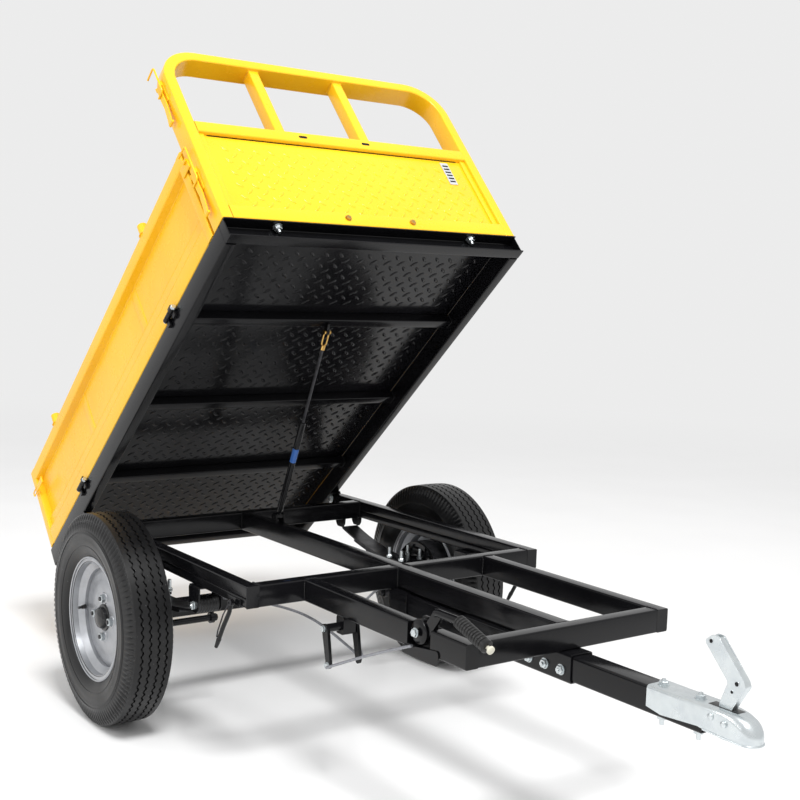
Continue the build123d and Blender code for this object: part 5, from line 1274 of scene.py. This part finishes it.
def hand_brake_pieces():
    """Bracket, sector lever, grip, button, cross shaft and cables."""
    bracket = Shape(CHASSIS)
    outline = [(1012, 436), (1088, 436), (1088, 470), (1068, 498), (1026, 498), (1012, 470)]
    bracket.prism(rounded(outline, 10), 1, -269, -265)
    foot = [(992, 412), (1122, 412), (1122, 446), (992, 430)]
    bracket.prism(rounded(foot, 8), 1, -300, -297)
    bracket.rod((BRAKE_X, -306, BRAKE_Z), (BRAKE_X, -266, BRAKE_Z), 6, 24)
    bracket.beam((CROSS_X - 16, -292, CROSS_Z - 19), (CROSS_X + 16, -258, BOTTOM), 1, 0, 6)
    bracket.done("handbrake_bracket_plates", BLACK, "chassis", ["handbrake_bracket"], 0.5)
    hex_heads("handbrake_pin_nut", [((BRAKE_X, -303, BRAKE_Z), (0, -1, 0))], ZINC, "chassis", CHASSIS, 8,
        6, 10.5)

    lever = Shape(CHASSIS)
    lever.lathe([(-10, 6.2), (-10, 24), (-8, 28), (-6, 28), (-4, 20), (4, 20), (6, 28), (8, 28), (10, 24),
        (10, 6.2)], (BRAKE_X, -286, BRAKE_Z), (0, 1, 0), 56)
    web = [(1036, 447), (1056, 443), (1074, 462), (1112, 512), (1104, 530), (1090, 526), (1064, 492)]
    lever.prism(rounded(web, 8), 1, -290, -282)
    lever.pipe(filleted([(1092, -286, 519), (1100, -286, 521), (1168, -286, 521), (1180, -286, 517)], 12),
        9, 24)
    lever.done("brake_lever_sector", BLACK, "brake_lever", ["brake_lever"], 0.5)
    grip = Shape(CHASSIS)
    profile = [(0, 8), (0, 12), (2, 14.4)]
    for rib in range(11):
        foot_at = 5 + 8 * rib
        profile += [(foot_at, 14.4), (foot_at + 1, 12.8), (foot_at + 2.4, 12.8), (foot_at + 3.4, 14.9),
            (foot_at + 6, 14.9)]
    profile += [(97, 14.9), (99.9, 12), (99.9, 6)]
    grip.lathe(profile, GRIP_START, GRIP_END - GRIP_START, 48)
    grip.done("brake_grip_sleeve", GRIP, "brake_lever")
    along = (GRIP_END - GRIP_START).normalized()
    button = Shape(CHASSIS)
    button.rod(GRIP_END - along * 39, GRIP_END + along * 8, 4.6, 24)
    button.lathe([(7, 0.01), (7, 8.2), (8, 9), (12, 8.8), (13.6, 6), (14, 0.01)], GRIP_END, along, 32)
    button.done("brake_button_cap", BUTTON, "brake_button", ["brake_button"])

    shaft = Shape(CHASSIS)
    shaft.rod((CROSS_X, -336, CROSS_Z), (CROSS_X, -244, CROSS_Z), 9.9, 32)
    for low, high in ((-336, -328), (-254, -246)):
        outline = [(CROSS_X - 13, CROSS_Z + 10), (CROSS_X + 13, CROSS_Z + 10), (FOOT_X + 9, FOOT_Z + 2),
            (FOOT_X + 4, FOOT_Z - 9), (FOOT_X - 6, FOOT_Z - 8), (FOOT_X - 9, FOOT_Z + 2)]
        shaft.prism(rounded(outline, 7), 1, low, high)
    shaft.done("cross_shaft_arms", BLACK, "cross_shaft", ["cross_shaft"], 0.6)
    spots = [((FOOT_X, -336, FOOT_Z), (0, -1, 0)), ((CROSS_X, -336, CROSS_Z), (0, -1, 0))]
    hex_heads("cross_shaft_nuts", spots, ZINC, "cross_shaft", CHASSIS, 6.5, 5, 8)
    routes = [[(1036, -305, 437), (975, -306, 414), (870, -326, 370), (774, -351, 324)],
        [(742, -240, 326), (620, -236, 352), (511, -244, 370), (390, -252, 366), (250, -264, 350),
        (110, -281, 328)], [(738, -228, 324), (640, -190, 350), (520, -90, 378), (390, 60, 378),
        (260, 196, 352), (110, 281, 328)]]
    for number, route in enumerate(routes, 1):
        held_cable(f"brake_cable_{number}", route, 3.4)


def held_cable(name, route, radius):
    """A cable held at both ends, as one smooth curve with the route's points as control points."""
    line = bpy.data.curves.new(name, "CURVE")
    line.dimensions = "3D"
    spline = line.splines.new("NURBS")
    spline.points.add(len(route) - 1)
    for point, place in zip(spline.points, route):
        point.co = (*(Vector(place) * MM), 1)
    spline.order_u = 3
    spline.use_endpoint_u = True
    line.resolution_u = 20
    cable = bpy.data.objects.new(name, line)
    bpy.context.scene.collection.objects.link(cable)
    bare = bpy.data.meshes.new_from_object(cable)
    bpy.data.meshes.remove(bare)
    line.bevel_depth = radius * MM
    line.bevel_resolution = 5
    line.use_fill_caps = True
    line.materials.append(SHEATH)
    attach(cable, "chassis")
    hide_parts("brake_cables")


chassis_pieces()
drawbar_pieces()
suspension_pieces()
wheel_pieces()
box_frame_pieces()
front_frame_pieces()
side_wall_pieces()
hinge_pieces()
tailgate_pieces()
latch_pieces()
strut_pieces()
hand_brake_pieces()


# ---------------------------------------------------------------- brake shoes

# The shoes keep their own shape inside the drums.
shoes = bpy.data.objects["brake_shoes"]
shoes.data.materials.clear()
shoes.data.materials.append(LINING)

# ---------------------------------------------------------------- floor, light and camera


# Brightness of the surroundings, which the far floor fades into.
AIR = 0.84


def studio_floor():
    """Plain pale floor and light surroundings."""
    material, tree, shader, place = new_material("studio_floor")
    shade = ramp(tree, noise(tree, place, 2.0, 2.0), [(0.3, 0.8), (0.7, 0.82)])
    tree.links.new(shade, shader.inputs["Base Color"])
    shader.inputs["Roughness"].default_value = 0.7
    far = add(tree, "ShaderNodeVectorMath", {0: place}, "Value", operation="LENGTH")
    reach = {"Value": far, "From Min": 2.2, "From Max": 9.0}
    fade = add(tree, "ShaderNodeMapRange", reach, interpolation_type="SMOOTHSTEP")
    glow = add(tree, "ShaderNodeEmission", {"Color": (1.0, 1.0, 1.0, 1), "Strength": AIR})
    blend = add(tree, "ShaderNodeMixShader", {0: fade, 1: shader.outputs["BSDF"], 2: glow})
    tree.links.new(blend, tree.nodes["Material Output"].inputs["Surface"])
    mesh = bpy.data.meshes.new("studio_floor")
    half = 60
    mesh.from_pydata([(-half, -half, 0), (half, -half, 0), (half, half, 0), (-half, half, 0)], [],
        [(0, 1, 2, 3)])
    mesh.materials.append(material)
    floor = bpy.data.objects.new("studio_floor", mesh)
    bpy.context.scene.collection.objects.link(floor)
    world = bpy.data.worlds.new("studio")
    world.use_nodes = True
    sky = world.node_tree.nodes["Background"].inputs
    sky["Color"].default_value = (1.0, 1.0, 1.0, 1)
    sky["Strength"].default_value = AIR
    bpy.context.scene.world = world
    bpy.context.scene.view_settings.view_transform = "Standard"


def soft_light(name, place, target, width, height, power):
    """Rectangular soft light aimed at a place."""
    lamp = bpy.data.lights.new(name, "AREA")
    lamp.shape = "RECTANGLE"
    lamp.size, lamp.size_y = width, height
    lamp.energy = power
    light = bpy.data.objects.new(name, lamp)
    light.location = place
    light.rotation_euler = (Vector(target) - Vector(place)).to_track_quat("-Z", "Y").to_euler()
    bpy.context.scene.collection.objects.link(light)


CAMERA_PLACE = (3091, -1839, 1202)
CAMERA_YAW, CAMERA_PITCH, CAMERA_ROLL = 143.83, 5.92, 1.94
CAMERA_LENS, CAMERA_SHIFT = 55.58, (-0.0095, 0.0156)


def set_camera():
    """Camera a little above head height, off the right front corner."""
    yaw, pitch, roll = math.radians(CAMERA_YAW), math.radians(CAMERA_PITCH), math.radians(CAMERA_ROLL)
    look = Vector((math.cos(yaw) * math.cos(pitch), math.sin(yaw) * math.cos(pitch), -math.sin(pitch)))
    level_right = look.cross(Vector((0, 0, 1))).normalized()
    level_up = level_right.cross(look)
    right = level_right * math.cos(roll) + level_up * math.sin(roll)
    up = -level_right * math.sin(roll) + level_up * math.cos(roll)
    lens = bpy.data.cameras.new("camera")
    lens.lens, lens.sensor_width = CAMERA_LENS, 36
    lens.shift_x, lens.shift_y = CAMERA_SHIFT
    lens.clip_start, lens.clip_end = 0.05, 200
    camera = bpy.data.objects.new("camera", lens)
    matrix = Matrix.Identity(4)
    for index, column in enumerate((right, up, -look)):
        matrix.col[index][:3] = column
    matrix.translation = Vector(CAMERA_PLACE) * MM
    camera.matrix_world = matrix
    bpy.context.scene.collection.objects.link(camera)
    bpy.context.scene.camera = camera


studio_floor()
soft_light("front_high", (3.4, -1.2, 6.0), (0.3, 0, 0.9), 1.7, 1.7, 380)
soft_light("right_edge", (-0.4, -4.8, 2.8), (0.2, 0, 0.7), 0.8, 3.0, 45)
set_camera()
